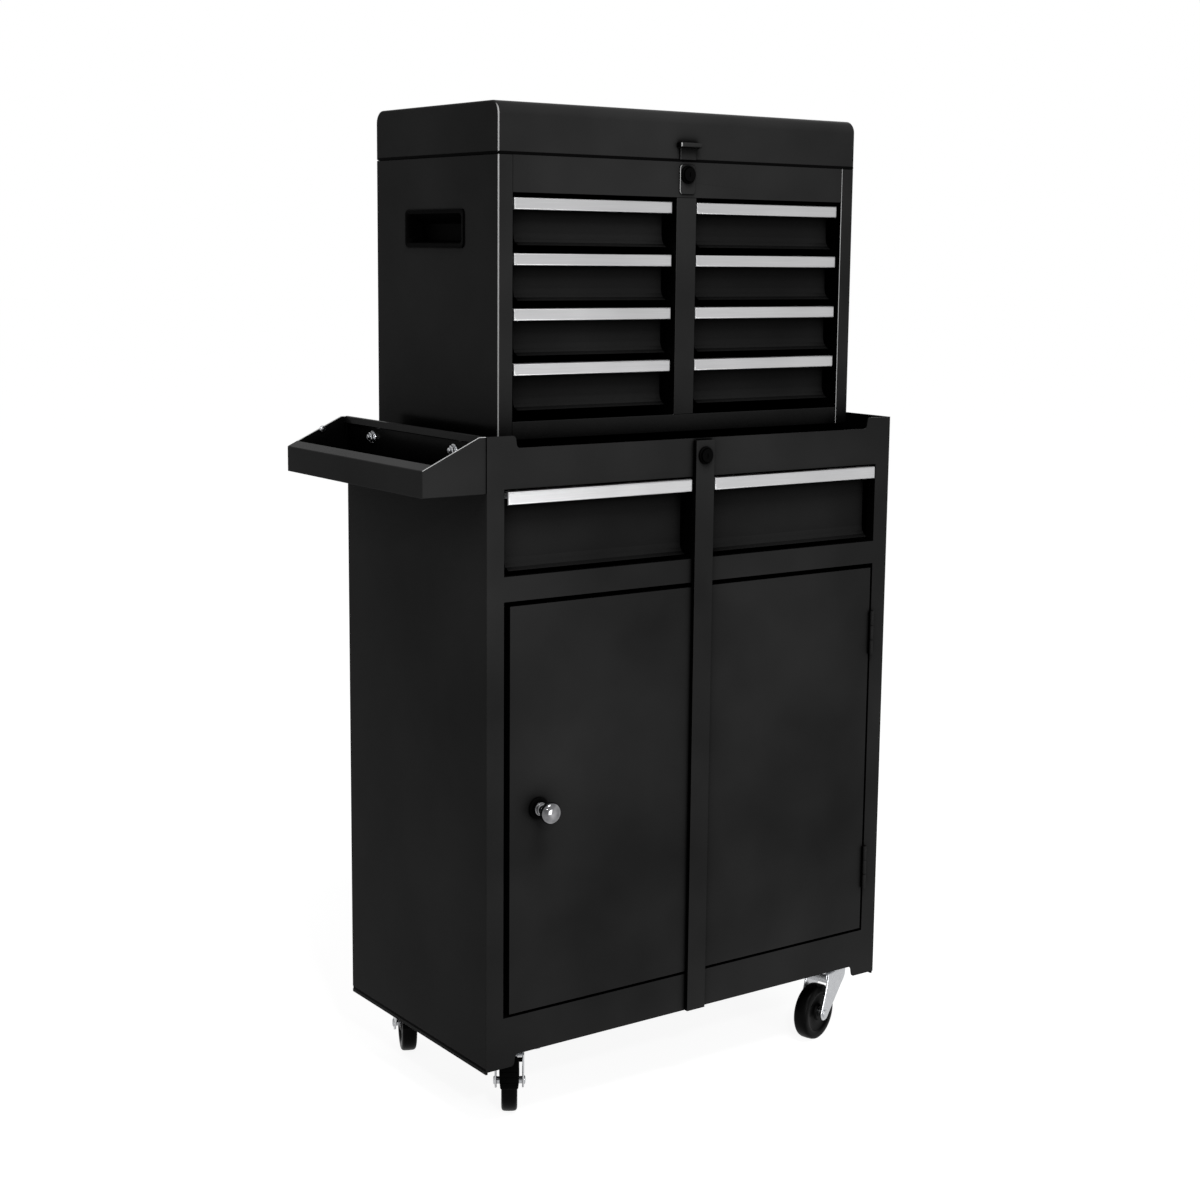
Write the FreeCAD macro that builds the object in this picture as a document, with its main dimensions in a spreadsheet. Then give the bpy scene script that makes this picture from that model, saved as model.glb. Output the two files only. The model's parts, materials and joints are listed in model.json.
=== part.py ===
import FreeCAD, Part
import math
import os
import re

import Sketcher

# Tool chest on a rolling cabinet. Millimetres, +Z up, front towards -Y.
# The origin is on the floor, under the middle of the whole object.

SIZES = {
    # Sheet metal and clearances
    "sheet": 1.2,
    "slide_clear": 0.3,
    "pin_clear": 0.05,
    "knuckle_gap": 0.5,
    "fold_round": 2,
    # Cabinet
    "foot_height": 72,
    "cabinet_width": 530,
    "cabinet_depth": 287,
    "ear_step": 12.2,
    "ear_width": 33,
    "ear_lean": 2,
    "ear_round": 4,
    "stile": 20,
    "bottom_rail": 41.3,
    "door_opening": 431,
    "mid_rail": 25.2,
    "drawer_opening": 86.9,
    "top_rail": 40.1,
    "rail_return": 12,
    "deck_drop": 5,
    "pan_drop": 3,
    "pan_rim": 3.8,
    "pan_seam": 2.5,
    "pan_lap": 6,
    "post_width": 24,
    # Drawers and pulls
    "drawer_sheet": 1,
    "lip_reach": 5,
    "lip_drop": 6,
    "pull_wall": 1.6,
    "pull_leg": 6,
    "pull_round": 1.5,
    "flare_height": 12,
    "flare_reach": 8.5,
    "cabinet_pull_height": 13,
    "cabinet_pull_gap": 3,
    "cabinet_pull_proud": 3,
    "cabinet_row_gap": 2.5,
    "cabinet_under_gap": 5,
    "cabinet_face_recess": 12,
    "cabinet_runner_room": 7,
    "cabinet_drawer_length": 255,
    # Door, its hinges, knob and locking bar
    "door_depth": 14,
    "door_proud": 0.3,
    "door_free_gap": 7,
    "door_hinge_gap": 3,
    "door_top_gap": 5,
    "door_low_gap": 3,
    "hinge_height": 50,
    "hinge_leaf": 1,
    "hinge_leaf_depth": 12,
    "hinge_radius": 2.4,
    "hinge_pin": 1.2,
    "hinge_stand": 2.8,
    "hinge_upper": 352,
    "hinge_lower": 77,
    "knob_reach": 29,
    "knob_radius": 11.5,
    "knob_stem": 6.5,
    "knob_head": 13,
    "knob_round": 4,
    "knob_inset": 34.5,
    "knob_height": 269,
    "bar_depth": 5,
    "bar_top_gap": 2,
    "bar_lock_drop": 18,
    "lock_radius": 7,
    "lock_proud": 4,
    "cam_length": 11,
    "cam_width": 5,
    "cam_thick": 2,
    "cam_shaft": 2.5,
    "cam_room": 1.5,
    # Side tray
    "tray_reach": 71.5,
    "tray_front_inset": 1,
    "tray_height": 56,
    "tray_outer": 26.5,
    "tray_flat": 8,
    "tray_rim": 11.5,
    "tray_bolt_end": 60,
    "tray_bolt_drop": 18,
    "tray_bolt_radius": 5,
    "tray_bolt_height": 4,
    # Chest
    "chest_width": 462,
    "chest_depth": 245,
    "chest_setback": 34.5,
    "chest_foot": 9.3,
    "chest_foot_radius": 14,
    "chest_foot_inset": 32,
    "chest_stile": 17,
    "chest_bottom_rail": 18,
    "chest_top_rail": 36.4,
    "chest_post": 25,
    "row_pitch": 54.5,
    "chest_row_gap": 4.5,
    "chest_under_gap": 10.7,
    "chest_drawer_height": 46.5,
    "chest_pull_height": 12,
    "chest_pull_gap": 3.5,
    "chest_pull_setback": 3,
    "chest_face_recess": 14,
    "chest_runner_room": 9,
    "chest_drawer_length": 218,
    "carry_width": 118,
    "carry_height": 39,
    "carry_rim": 4,
    "carry_depth": 17,
    "carry_proud": 1.5,
    "carry_wall": 2,
    "carry_drop": 52,
    # Lid, its hinge, pull and lock
    "lid_gap": 1,
    "lid_height": 50.8,
    "lid_round": 13,
    "lid_hinge_stand": 3,
    "lid_hinge_leaf": 16,
    "lid_hinge_inset": 6,
    "lid_pull_width": 27,
    "lid_pull_rise": 12.4,
    "lid_pull_height": 6,
    "lid_pull_reach": 8,
    "lid_pull_tip": 4.5,
    "lid_pull_round": 1.4,
    "lock_plate_width": 20,
    "lock_plate_height": 30,
    "lock_plate_drop": 3,
    "lock_plate_thick": 1.5,
    "lock_plate_round": 3.5,
    "lock_drop": 13,
    "catch_width": 4,
    "catch_rise": 16,
    # Casters
    "caster_front_x": 46,
    "caster_front_y": 29,
    "caster_rear_x": 41,
    "caster_rear_y": 57,
    "caster_plate": 2.5,
    "caster_plate_x": 56,
    "caster_plate_y": 48,
    "caster_boss": 14,
    "caster_boss_height": 3.2,
    "caster_trail": 27,
    "king_pin": 4,
    "king_pin_head": 7,
    "king_pin_head_height": 2,
    "fork_wall": 2.5,
    "fork_leg": 2,
    "fork_nose": 17,
    "fork_tail": 12,
    "fork_boss": 8,
    "fork_side_gap": 5,
    "wheel_radius": 32,
    "wheel_width": 17,
    "wheel_round": 5,
    "wheel_dish": 2,
    "wheel_rim": 8,
    "wheel_hub": 9,
    "axle_radius": 4,
    "pedal_width": 21,
    "pedal_pin": 2.5,
    "pedal_pin_nose": 13,
    "pedal_pin_drop": 7,
    "pedal_nose": 22,
    "pedal_thick": 3.5,
    "pedal_low": 42,
}
CHEST_ROWS = 4
LID_KNUCKLES = 7
CASTER_HEADINGS = {"front_left": 57.5, "front_right": 197.5, "rear_left": 66, "rear_right": 200}
BRAKED_CASTERS = ("front_left", "rear_left")
# Bends of a drawer's flared edge, as shares of its reach and of its height
FLARE_BENDS = ((0.45, 0.25), (0.15, 0.55))
# Smallest part of a unit direction that counts as along an axis, and play in picking edges by place
STRAIGHT = 0.8
TOUCH = 0.01

doc = FreeCAD.newDocument("ToolChest")
sheet = doc.addObject("Spreadsheet::Sheet", "Sheet")
for row, (alias, value) in enumerate(SIZES.items(), start=1):
    sheet.set(f"A{row}", alias)
    sheet.set(f"B{row}", str(value))
    sheet.setAlias(f"B{row}", alias)
doc.recompute()


# Helpers that bind every length and place to the sheet

def formula(text):
    """Expression text in which each size's name refers to its cell."""
    def refer(match):
        word = match.group(0)
        return f"Sheet.{word}" if word in SIZES else word
    return re.sub(r"[a-z]\w*", refer, str(text))


def bind(target, name, text):
    target.setExpression(name, formula(text))


def place(target, x, y, z):
    for axis, text in zip("xyz", (x, y, z)):
        bind(target, f"Placement.Base.{axis}", text)


def turn(target, axis, degrees):
    target.Placement = FreeCAD.Placement(FreeCAD.Vector(), FreeCAD.Rotation(FreeCAD.Vector(*axis), degrees))


def box(name, x, y, z):
    """Box between a low and a high limit on each axis."""
    solid = doc.addObject("Part::Box", name)
    for side, (low, high) in zip(("Length", "Width", "Height"), (x, y, z)):
        bind(solid, side, f"({high}) - ({low})")
    place(solid, x[0], y[0], z[0])
    return solid


def rod(name, radius, start, length, along):
    """Cylinder from a start point along +X, +Y or +Z."""
    solid = doc.addObject("Part::Cylinder", name)
    if along == "x":
        turn(solid, (0, 1, 0), 90)
    if along == "y":
        turn(solid, (1, 0, 0), -90)
    bind(solid, "Radius", radius)
    bind(solid, "Height", length)
    place(solid, *start)
    return solid


def fuse(name, solids):
    joined = doc.addObject("Part::MultiFuse", name)
    joined.Shapes = solids
    joined.Refine = True
    return joined


def cut(name, base, tools):
    result = base
    for number, tool in enumerate(tools, start=1):
        step = doc.addObject("Part::Cut", f"{name}_{number}")
        step.Base = result
        step.Tool = tool
        result = step
    return result


def group(name, solids):
    """Separate solids of one kind, kept side by side in one node."""
    together = doc.addObject("Part::Compound", name)
    together.Links = solids
    return together


def outline(body, name, role, points):
    """Closed sketch of straight lines on an origin plane, every corner bound to the sheet."""
    sketch = body.newObject("Sketcher::SketchObject", name)
    plane = next(feature for feature in body.Origin.OriginFeatures if feature.Role == role)
    sketch.AttachmentSupport = (plane, [""])
    sketch.MapMode = "FlatFace"
    count = len(points)
    angles = [2 * math.pi * number / count for number in range(count)]
    corners = [FreeCAD.Vector(math.cos(angle), math.sin(angle), 0) for angle in angles]
    for number in range(count):
        sketch.addGeometry(Part.LineSegment(corners[number], corners[(number + 1) % count]), False)
    for number in range(count):
        sketch.addConstraint(Sketcher.Constraint("Coincident", number, 2, (number + 1) % count, 1))
    for number, point in enumerate(points):
        for kind, start, text in zip(("DistanceX", "DistanceY"), corners[number], point):
            index = sketch.addConstraint(Sketcher.Constraint(kind, -1, 1, number, 1, start + TOUCH))
            bind(sketch, f"Constraints[{index}]", text)
    return sketch


def prism(name, role, points, low, high):
    """Outline on an origin plane, padded between two places along that plane's axis."""
    body = doc.addObject("PartDesign::Body", name)
    pad = body.newObject("PartDesign::Pad", f"{name}_pad")
    pad.Profile = outline(body, f"{name}_outline", role, points)
    bind(pad, "Length", f"({high}) - ({low})")
    body.Tip = pad
    if role == "YZ_Plane":
        bind(body, "Placement.Base.x", low)
    if role == "XZ_Plane":
        bind(body, "Placement.Base.y", high)
    if role == "XY_Plane":
        bind(body, "Placement.Base.z", low)
    return body


def turned(name, points):
    """Outline of radius against height, revolved about the body's own Z axis."""
    body = doc.addObject("PartDesign::Body", name)
    sketch = outline(body, f"{name}_outline", "XZ_Plane", points)
    turning = body.newObject("PartDesign::Revolution", f"{name}_turning")
    turning.Profile = sketch
    turning.ReferenceAxis = (sketch, ["V_Axis"])
    turning.Angle = 360
    body.Tip = turning
    return body


def round_edges(body, radius, wanted):
    """Fillet the edges of a body that a test of each edge picks."""
    doc.recompute()
    base = body.Tip
    names = [f"Edge{number}" for number, edge in enumerate(base.Shape.Edges, start=1) if wanted(edge)]
    rounding = body.newObject("PartDesign::Fillet", f"{body.Name}_round")
    rounding.Base = (base, names)
    bind(rounding, "Radius", radius)
    body.Tip = rounding
    return body


def direction(edge):
    return edge.tangentAt(edge.FirstParameter)


nodes = []


def node(label, solid):
    """Name a finished sub-part."""
    solid.Label = label
    nodes.append(solid)
    return solid


# Shared places of the cabinet
MID = "tray_reach / 2"
LEFT = f"{MID} - cabinet_width / 2"
RIGHT = f"{MID} + cabinet_width / 2"
FRONT = "(knob_reach - cabinet_depth) / 2"
BACK = f"{FRONT} + cabinet_depth"
FOOT = "foot_height"
RAIL_LOW = f"{FOOT} + ear_step"
DOOR_LOW = f"{RAIL_LOW} + bottom_rail"
DOOR_TOP = f"{DOOR_LOW} + door_opening"
DRAWER_LOW = f"{DOOR_TOP} + mid_rail"
DRAWER_TOP = f"{DRAWER_LOW} + drawer_opening"
RAIL_TOP = f"{DRAWER_TOP} + top_rail"
EAR_TOP = f"{RAIL_TOP} + ear_step"
DECK = f"{RAIL_TOP} - deck_drop"
PAN_LOW = f"{FOOT} - pan_drop"
WRAP_LOW = f"{PAN_LOW} + pan_rim + pan_seam"
INNER_LEFT = f"{LEFT} + sheet"
INNER_RIGHT = f"{RIGHT} - sheet"
INNER_BACK = f"{BACK} - sheet"
FRAME_BACK = f"{FRONT} + sheet"
BAY_FRONT = f"{FRONT} + rail_return"
OPEN_LEFT = f"{LEFT} + stile"
OPEN_RIGHT = f"{RIGHT} - stile"
BAR_LOCK_Z = f"{RAIL_TOP} - bar_lock_drop"

# Shared places of the chest
CHEST_LEFT = f"{MID} - chest_width / 2"
CHEST_RIGHT = f"{MID} + chest_width / 2"
CHEST_FRONT = f"{FRONT} + chest_setback"
CHEST_BACK = f"{CHEST_FRONT} + chest_depth"
CHEST_LOW = f"{DECK} + chest_foot"
ROWS_LOW = f"{CHEST_LOW} + chest_bottom_rail"
ROWS_HEIGHT = f"chest_row_gap + {CHEST_ROWS - 1} * row_pitch + chest_drawer_height + chest_under_gap"
ROWS_TOP = f"{ROWS_LOW} + {ROWS_HEIGHT}"
CHEST_TOP = f"{ROWS_TOP} + chest_top_rail"
LID_LOW = f"{CHEST_TOP} + lid_gap"
LID_TOP = f"{LID_LOW} + lid_height"
CHEST_INNER_LEFT = f"{CHEST_LEFT} + sheet"
CHEST_INNER_RIGHT = f"{CHEST_RIGHT} - sheet"
CHEST_INNER_BACK = f"{CHEST_BACK} - sheet"
CHEST_INNER_FRONT = f"{CHEST_FRONT} + sheet"
CHEST_LOCK_Z = f"{CHEST_TOP} - lock_drop"


def front_frame():
    """Face frame with ears and feet, two openings and the slot for the locking bar's cam."""
    step_in = f"{LEFT} + ear_width"
    step_out = f"{RIGHT} - ear_width"
    lean = "ear_lean"
    points = [
        (LEFT, FOOT), (step_in, FOOT), (f"{step_in} + {lean}", RAIL_LOW),
        (f"{step_out} - {lean}", RAIL_LOW), (step_out, FOOT), (RIGHT, FOOT),
        (RIGHT, EAR_TOP), (step_out, EAR_TOP), (f"{step_out} - {lean}", RAIL_TOP),
        (f"{step_in} + {lean}", RAIL_TOP), (step_in, EAR_TOP), (LEFT, EAR_TOP),
    ]
    face = prism("frame_face", "XZ_Plane", points, FRONT, FRAME_BACK)
    doc.recompute()
    limits = face.Shape.BoundBox

    def at_step(edge):
        x = edge.Vertexes[0].Point.x
        return abs(direction(edge).y) > STRAIGHT and limits.XMin + TOUCH < x < limits.XMax - TOUCH

    round_edges(face, "ear_round", at_step)
    parts = [face]
    openings = []
    for name, low, high in (("door", DOOR_LOW, DOOR_TOP), ("drawer", DRAWER_LOW, DRAWER_TOP)):
        around = box(f"{name}_return", (f"{OPEN_LEFT} - sheet", f"{OPEN_RIGHT} + sheet"),
                     (FRAME_BACK, BAY_FRONT), (f"{low} - sheet", f"{high} + sheet"))
        parts.append(around)
        openings.append(box(f"{name}_opening", (OPEN_LEFT, OPEN_RIGHT),
                            (f"{FRONT} - sheet", f"{BAY_FRONT} + sheet"), (low, high)))
    half_slot = "cam_width / 2 + cam_room"
    slot = box("cam_slot", (f"{MID} - ({half_slot})", f"{MID} + {half_slot}"),
               (f"{FRONT} - sheet", f"{FRAME_BACK} + sheet"),
               (f"{BAR_LOCK_Z} - ({half_slot})", f"{BAR_LOCK_Z} + cam_length + cam_room"))
    node("cabinet_front_frame", cut("frame_cut", fuse("frame_solid", parts), openings + [slot]))


def cabinet_shell():
    """Sides and back in one fold, the deck, the bay floor, the divider and the base pan."""
    depth = (FRAME_BACK, BACK)
    walls = [
        box("wrap_left", (LEFT, INNER_LEFT), depth, (WRAP_LOW, EAR_TOP)),
        box("wrap_right", (INNER_RIGHT, RIGHT), depth, (WRAP_LOW, EAR_TOP)),
        box("wrap_back", (LEFT, RIGHT), (INNER_BACK, BACK), (WRAP_LOW, RAIL_TOP)),
    ]
    node("cabinet_wrap", fuse("wrap", walls))
    inside = (INNER_LEFT, INNER_RIGHT)
    node("cabinet_deck", box("deck", inside, (FRAME_BACK, INNER_BACK), (f"{DECK} - sheet", DECK)))
    bay_floor = box("bay_floor", inside, (BAY_FRONT, INNER_BACK), (f"{DRAWER_LOW} - sheet", DRAWER_LOW))
    node("drawer_bay_floor", bay_floor)
    post_left = f"{MID} - post_width / 2"
    post_right = f"{MID} + post_width / 2"
    tall = (DRAWER_LOW, f"{DECK} - sheet")
    short = (DRAWER_LOW, DRAWER_TOP)
    divider = [box("divider_post", (post_left, post_right), (FRONT, FRAME_BACK), short)]
    walls = (("left", post_left, f"{post_left} + sheet"), ("right", f"{post_right} - sheet", post_right))
    for side, low, high in walls:
        divider.append(box(f"divider_{side}_nose", (low, high), (FRONT, BAY_FRONT), short))
        divider.append(box(f"divider_{side}", (low, high), (BAY_FRONT, INNER_BACK), tall))
    node("drawer_divider", fuse("divider", divider))
    skirt = (PAN_LOW, f"{RAIL_LOW} + sheet")
    rim = (PAN_LOW, f"{PAN_LOW} + pan_rim")
    pan_back = (f"{INNER_BACK} - sheet", INNER_BACK)
    pan = [
        box("pan_floor", inside, (FRAME_BACK, INNER_BACK), (RAIL_LOW, f"{RAIL_LOW} + sheet")),
        box("pan_front", inside, (FRAME_BACK, f"{FRAME_BACK} + sheet"), (RAIL_LOW, f"{RAIL_LOW} + pan_lap")),
        box("pan_left", (INNER_LEFT, f"{INNER_LEFT} + sheet"), (FRAME_BACK, INNER_BACK), skirt),
        box("pan_right", (f"{INNER_RIGHT} - sheet", INNER_RIGHT), (FRAME_BACK, INNER_BACK), skirt),
        box("pan_back", inside, pan_back, skirt),
        box("pan_left_rim", (LEFT, INNER_LEFT), depth, rim),
        box("pan_right_rim", (INNER_RIGHT, RIGHT), depth, rim),
        box("pan_back_rim", (LEFT, RIGHT), (INNER_BACK, BACK), rim),
    ]
    node("base_pan", fuse("pan", pan))


def side_tray():
    """Open tray hung on the left side, its ends sloping down to a low outer wall."""
    outer = f"{LEFT} - tray_reach"
    low = f"{EAR_TOP} - tray_height"
    outer_top = f"{low} + tray_outer"
    flat = f"{LEFT} - tray_flat"
    ends = (f"{FRONT} + tray_front_inset", BACK)
    slope = f"({EAR_TOP} - ({outer_top})) / (tray_reach - tray_flat)"
    parts = [
        box("tray_floor", (outer, LEFT), ends, (low, f"{low} + sheet")),
        box("tray_inner", (f"{LEFT} - sheet", LEFT), ends, (low, EAR_TOP)),
        box("tray_outer_wall", (outer, f"{outer} + sheet"), ends, (low, outer_top)),
    ]
    rim_end = f"{outer} + tray_rim"
    rim_rise = f"({slope}) * tray_rim"
    rim = [(outer, f"{outer_top} - sheet"), (rim_end, f"{outer_top} + {rim_rise} - sheet"),
           (rim_end, f"{outer_top} + {rim_rise}"), (outer, outer_top)]
    parts.append(prism("tray_rim_fold", "XZ_Plane", rim, *ends))
    end_plate = [(outer, low), (LEFT, low), (LEFT, EAR_TOP), (flat, EAR_TOP), (outer, outer_top)]
    parts.append(prism("tray_front_end", "XZ_Plane", end_plate, ends[0], f"{ends[0]} + sheet"))
    parts.append(prism("tray_back_end", "XZ_Plane", end_plate, f"{BACK} - sheet", BACK))
    node("side_tray", fuse("tray", parts))
    bolts = []
    for name, y in (("front", f"{FRONT} + tray_bolt_end"), ("back", f"{BACK} - tray_bolt_end")):
        start = (f"{LEFT} - sheet - tray_bolt_height", y, f"{EAR_TOP} - tray_bolt_drop")
        bolts.append(rod(f"tray_bolt_{name}", "tray_bolt_radius", start, "tray_bolt_height", "x"))
    node("tray_bolts", group("tray_bolt_pair", bolts))


def runner(name, wall, tip, lip_z, depth):
    """Channel on a wall, open towards the drawer, with its two legs above and below the drawer's lip."""
    low = f"{lip_z} - slide_clear"
    high = f"{lip_z} + drawer_sheet + slide_clear"
    return fuse(name, [
        box(f"{name}_lower", sorted_pair(wall, tip), depth, (f"{low} - sheet", low)),
        box(f"{name}_upper", sorted_pair(wall, tip), depth, (high, f"{high} + sheet")),
        box(f"{name}_web", wall_strip(wall), depth, (f"{low} - sheet", f"{high} + sheet")),
    ])


def sorted_pair(wall, tip):
    """Limits from a wall to a tip, where the wall is given with the side that it faces."""
    face, facing = wall
    return (face, tip) if facing > 0 else (tip, face)


def wall_strip(wall):
    face, facing = wall
    return (face, f"{face} + sheet") if facing > 0 else (f"{face} - sheet", face)


def flare_profile(face, low):
    """Side view of the sheet that sweeps forwards along the lower edge of a drawer's face."""
    outside = []
    inside = []
    for reach, rise in FLARE_BENDS:
        y = f"{face} - {reach} * flare_reach"
        z = f"{low} + {rise} * flare_height"
        outside.insert(0, (y, z))
        inside.append((f"{y} + drawer_sheet", f"{z} - drawer_sheet"))
    nose = f"{face} - flare_reach"
    inner_low = f"{low} + drawer_sheet"
    top = f"{low} + flare_height"
    sole = [(nose, low), (face, low), (face, inner_low), (f"{nose} + 3 * drawer_sheet", inner_low)]
    return sole + inside + [(face, f"{top} - 2 * drawer_sheet"), (face, top)] + outside


def drawer(name, look, left, right, front, pull_top):
    """Folded drawer with side lips and a flared lower edge, and the aluminium pull along its top."""
    low = f"{pull_top} - ({look['height']})"
    side_top = f"{pull_top} - pull_wall"
    face = f"{front} + {look['recess']}"
    back = f"{face} + {look['length']}"
    lip_z = f"{pull_top} - lip_drop"
    outer = box(f"{name}_outer", (left, right), (face, back), (low, side_top))
    inner = box(f"{name}_inner", (f"{left} + drawer_sheet", f"{right} - drawer_sheet"),
                (f"{face} + drawer_sheet", f"{back} - drawer_sheet"),
                (f"{low} + drawer_sheet", f"{side_top} + sheet"))
    flare = prism(f"{name}_flare", "YZ_Plane", flare_profile(face, low), left, right)
    parts = [cut(f"{name}_hollow", outer, [inner]), flare]
    lip_depth = (f"{face} + lip_drop", back)
    lip_height = (lip_z, f"{lip_z} + drawer_sheet")
    parts.append(box(f"{name}_lip_left", (f"{left} - lip_reach", left), lip_depth, lip_height))
    parts.append(box(f"{name}_lip_right", (right, f"{right} + lip_reach"), lip_depth, lip_height))
    node(f"{name}_tray", fuse(f"{name}_folded", parts))
    nose = f"{front} - ({look['pull_proud']})"
    nose_back = f"{nose} + pull_wall"
    leg_front = f"{face} - pull_wall"
    pull_low = f"{pull_top} - {look['pull_height']}"
    pull = [
        (nose, pull_low), (nose_back, pull_low), (nose_back, side_top), (leg_front, side_top),
        (leg_front, f"{side_top} - pull_leg"), (face, f"{side_top} - pull_leg"), (face, side_top),
        (f"{face} + drawer_sheet", side_top), (f"{face} + drawer_sheet", pull_top), (nose, pull_top),
    ]
    overhang = look["overhang"]
    grip = prism(f"{name}_grip", "YZ_Plane", pull, f"{left} - ({overhang})", f"{right} + {overhang}")
    doc.recompute()
    reach = grip.Shape.BoundBox.YMin
    round_edges(grip, "pull_round", lambda edge: edge.BoundBox.YMax < reach + TOUCH)
    node(f"{name}_pull", grip)
    return lip_z


def cabinet_drawers():
    look = {
        "height": "drawer_opening - cabinet_row_gap - cabinet_under_gap", "recess": "cabinet_face_recess",
        "length": "cabinet_drawer_length", "pull_proud": "cabinet_pull_proud",
        "pull_height": "cabinet_pull_height", "overhang": "cabinet_runner_room - cabinet_pull_gap",
    }
    post_left = f"{MID} - post_width / 2"
    post_right = f"{MID} + post_width / 2"
    pull_top = f"{DRAWER_TOP} - cabinet_row_gap"
    room = "cabinet_runner_room"
    bays = (("left", OPEN_LEFT, post_left, INNER_LEFT, post_left),
            ("right", post_right, OPEN_RIGHT, post_right, INNER_RIGHT))
    runners = []
    for side, low, high, low_wall, high_wall in bays:
        left = f"{low} + {room}"
        right = f"{high} - {room}"
        name = f"cabinet_drawer_{side}"
        lip_z = drawer(name, look, left, right, FRONT, pull_top)
        depth = (f"{FRONT} + cabinet_face_recess + drawer_sheet + slide_clear", INNER_BACK)
        runners.append(runner(f"{name}_runner_a", (low_wall, 1), f"{left} - slide_clear", lip_z, depth))
        runners.append(runner(f"{name}_runner_b", (high_wall, -1), f"{right} + slide_clear", lip_z, depth))
    node("cabinet_drawer_runners", group("cabinet_runner_set", runners))


def chest_drawers():
    look = {
        "height": "chest_drawer_height", "recess": "chest_face_recess", "length": "chest_drawer_length",
        "pull_proud": "0 - chest_pull_setback", "pull_height": "chest_pull_height",
        "overhang": "chest_runner_room - chest_pull_gap",
    }
    post_left = f"{MID} - chest_post / 2"
    post_right = f"{MID} + chest_post / 2"
    open_left = f"{CHEST_LEFT} + chest_stile"
    open_right = f"{CHEST_RIGHT} - chest_stile"
    room = "chest_runner_room"
    bays = (("left", open_left, post_left, CHEST_INNER_LEFT, post_left),
            ("right", post_right, open_right, post_right, CHEST_INNER_RIGHT))
    runners = []
    for side, low, high, low_wall, high_wall in bays:
        left = f"{low} + {room}"
        right = f"{high} - {room}"
        for row in range(CHEST_ROWS):
            name = f"chest_drawer_{side}_{row + 1}"
            pull_top = f"{ROWS_TOP} - chest_row_gap - {row} * row_pitch"
            lip_z = drawer(name, look, left, right, CHEST_FRONT, pull_top)
            depth = (f"{CHEST_FRONT} + chest_face_recess + drawer_sheet + slide_clear", CHEST_INNER_BACK)
            runners.append(runner(f"{name}_runner_a", (low_wall, 1), f"{left} - slide_clear", lip_z, depth))
            end = f"{right} + slide_clear"
            runners.append(runner(f"{name}_runner_b", (high_wall, -1), end, lip_z, depth))
    node("chest_drawer_runners", group("chest_runner_set", runners))


def hinge_leaves():
    """Two butt hinges: the frame leaf carries the pin and the end knuckles, the door leaf the middle one."""
    axis_x = f"{OPEN_RIGHT} - door_hinge_gap / 2"
    axis_y = f"{FRONT} - hinge_stand"
    door_edge = f"{OPEN_RIGHT} - door_hinge_gap"
    leaf_depth = (FRONT, f"{FRONT} + hinge_leaf_depth")
    neck_depth = (axis_y, leaf_depth[1])
    frame_leaves = []
    door_leaves = []
    for name, rise in (("upper", "hinge_upper"), ("lower", "hinge_lower")):
        low = f"{DOOR_LOW} + {rise} - hinge_height / 2"
        third = "(hinge_height - 2 * knuckle_gap) / 3"
        middle = f"{low} + {third} + knuckle_gap"
        upper = f"{middle} + {third} + knuckle_gap"
        frame_x = (f"{OPEN_RIGHT} - hinge_leaf", OPEN_RIGHT)
        parts = [box(f"hinge_{name}_leaf", frame_x, leaf_depth, (low, f"{low} + hinge_height")),
                 rod(f"hinge_{name}_pin", "hinge_pin", (axis_x, axis_y, low), "hinge_height", "z")]
        for end, start in (("low", low), ("high", upper)):
            knuckle = (start, f"{start} + {third}")
            at = (axis_x, axis_y, start)
            parts.append(rod(f"hinge_{name}_{end}_knuckle", "hinge_radius", at, third, "z"))
            parts.append(box(f"hinge_{name}_{end}_neck", frame_x, neck_depth, knuckle))
        frame_leaves.append(fuse(f"hinge_{name}_frame", parts))
        door_x = (door_edge, f"{door_edge} + hinge_leaf")
        parts = [
            box(f"hinge_{name}_door_leaf", door_x, leaf_depth, (low, f"{low} + hinge_height")),
            box(f"hinge_{name}_door_neck", door_x, neck_depth, (middle, f"{middle} + {third}")),
            rod(f"hinge_{name}_door_knuckle", "hinge_radius", (axis_x, axis_y, middle), third, "z"),
        ]
        bore = rod(f"hinge_{name}_bore", "hinge_pin + pin_clear", (axis_x, axis_y, low), "hinge_height", "z")
        door_leaves.append(cut(f"hinge_{name}_door", fuse(f"hinge_{name}_door_solid", parts), [bore]))
    node("door_hinge_frame_leaves", group("frame_leaf_pair", frame_leaves))
    node("door_hinge_door_leaves", group("door_leaf_pair", door_leaves))


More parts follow.
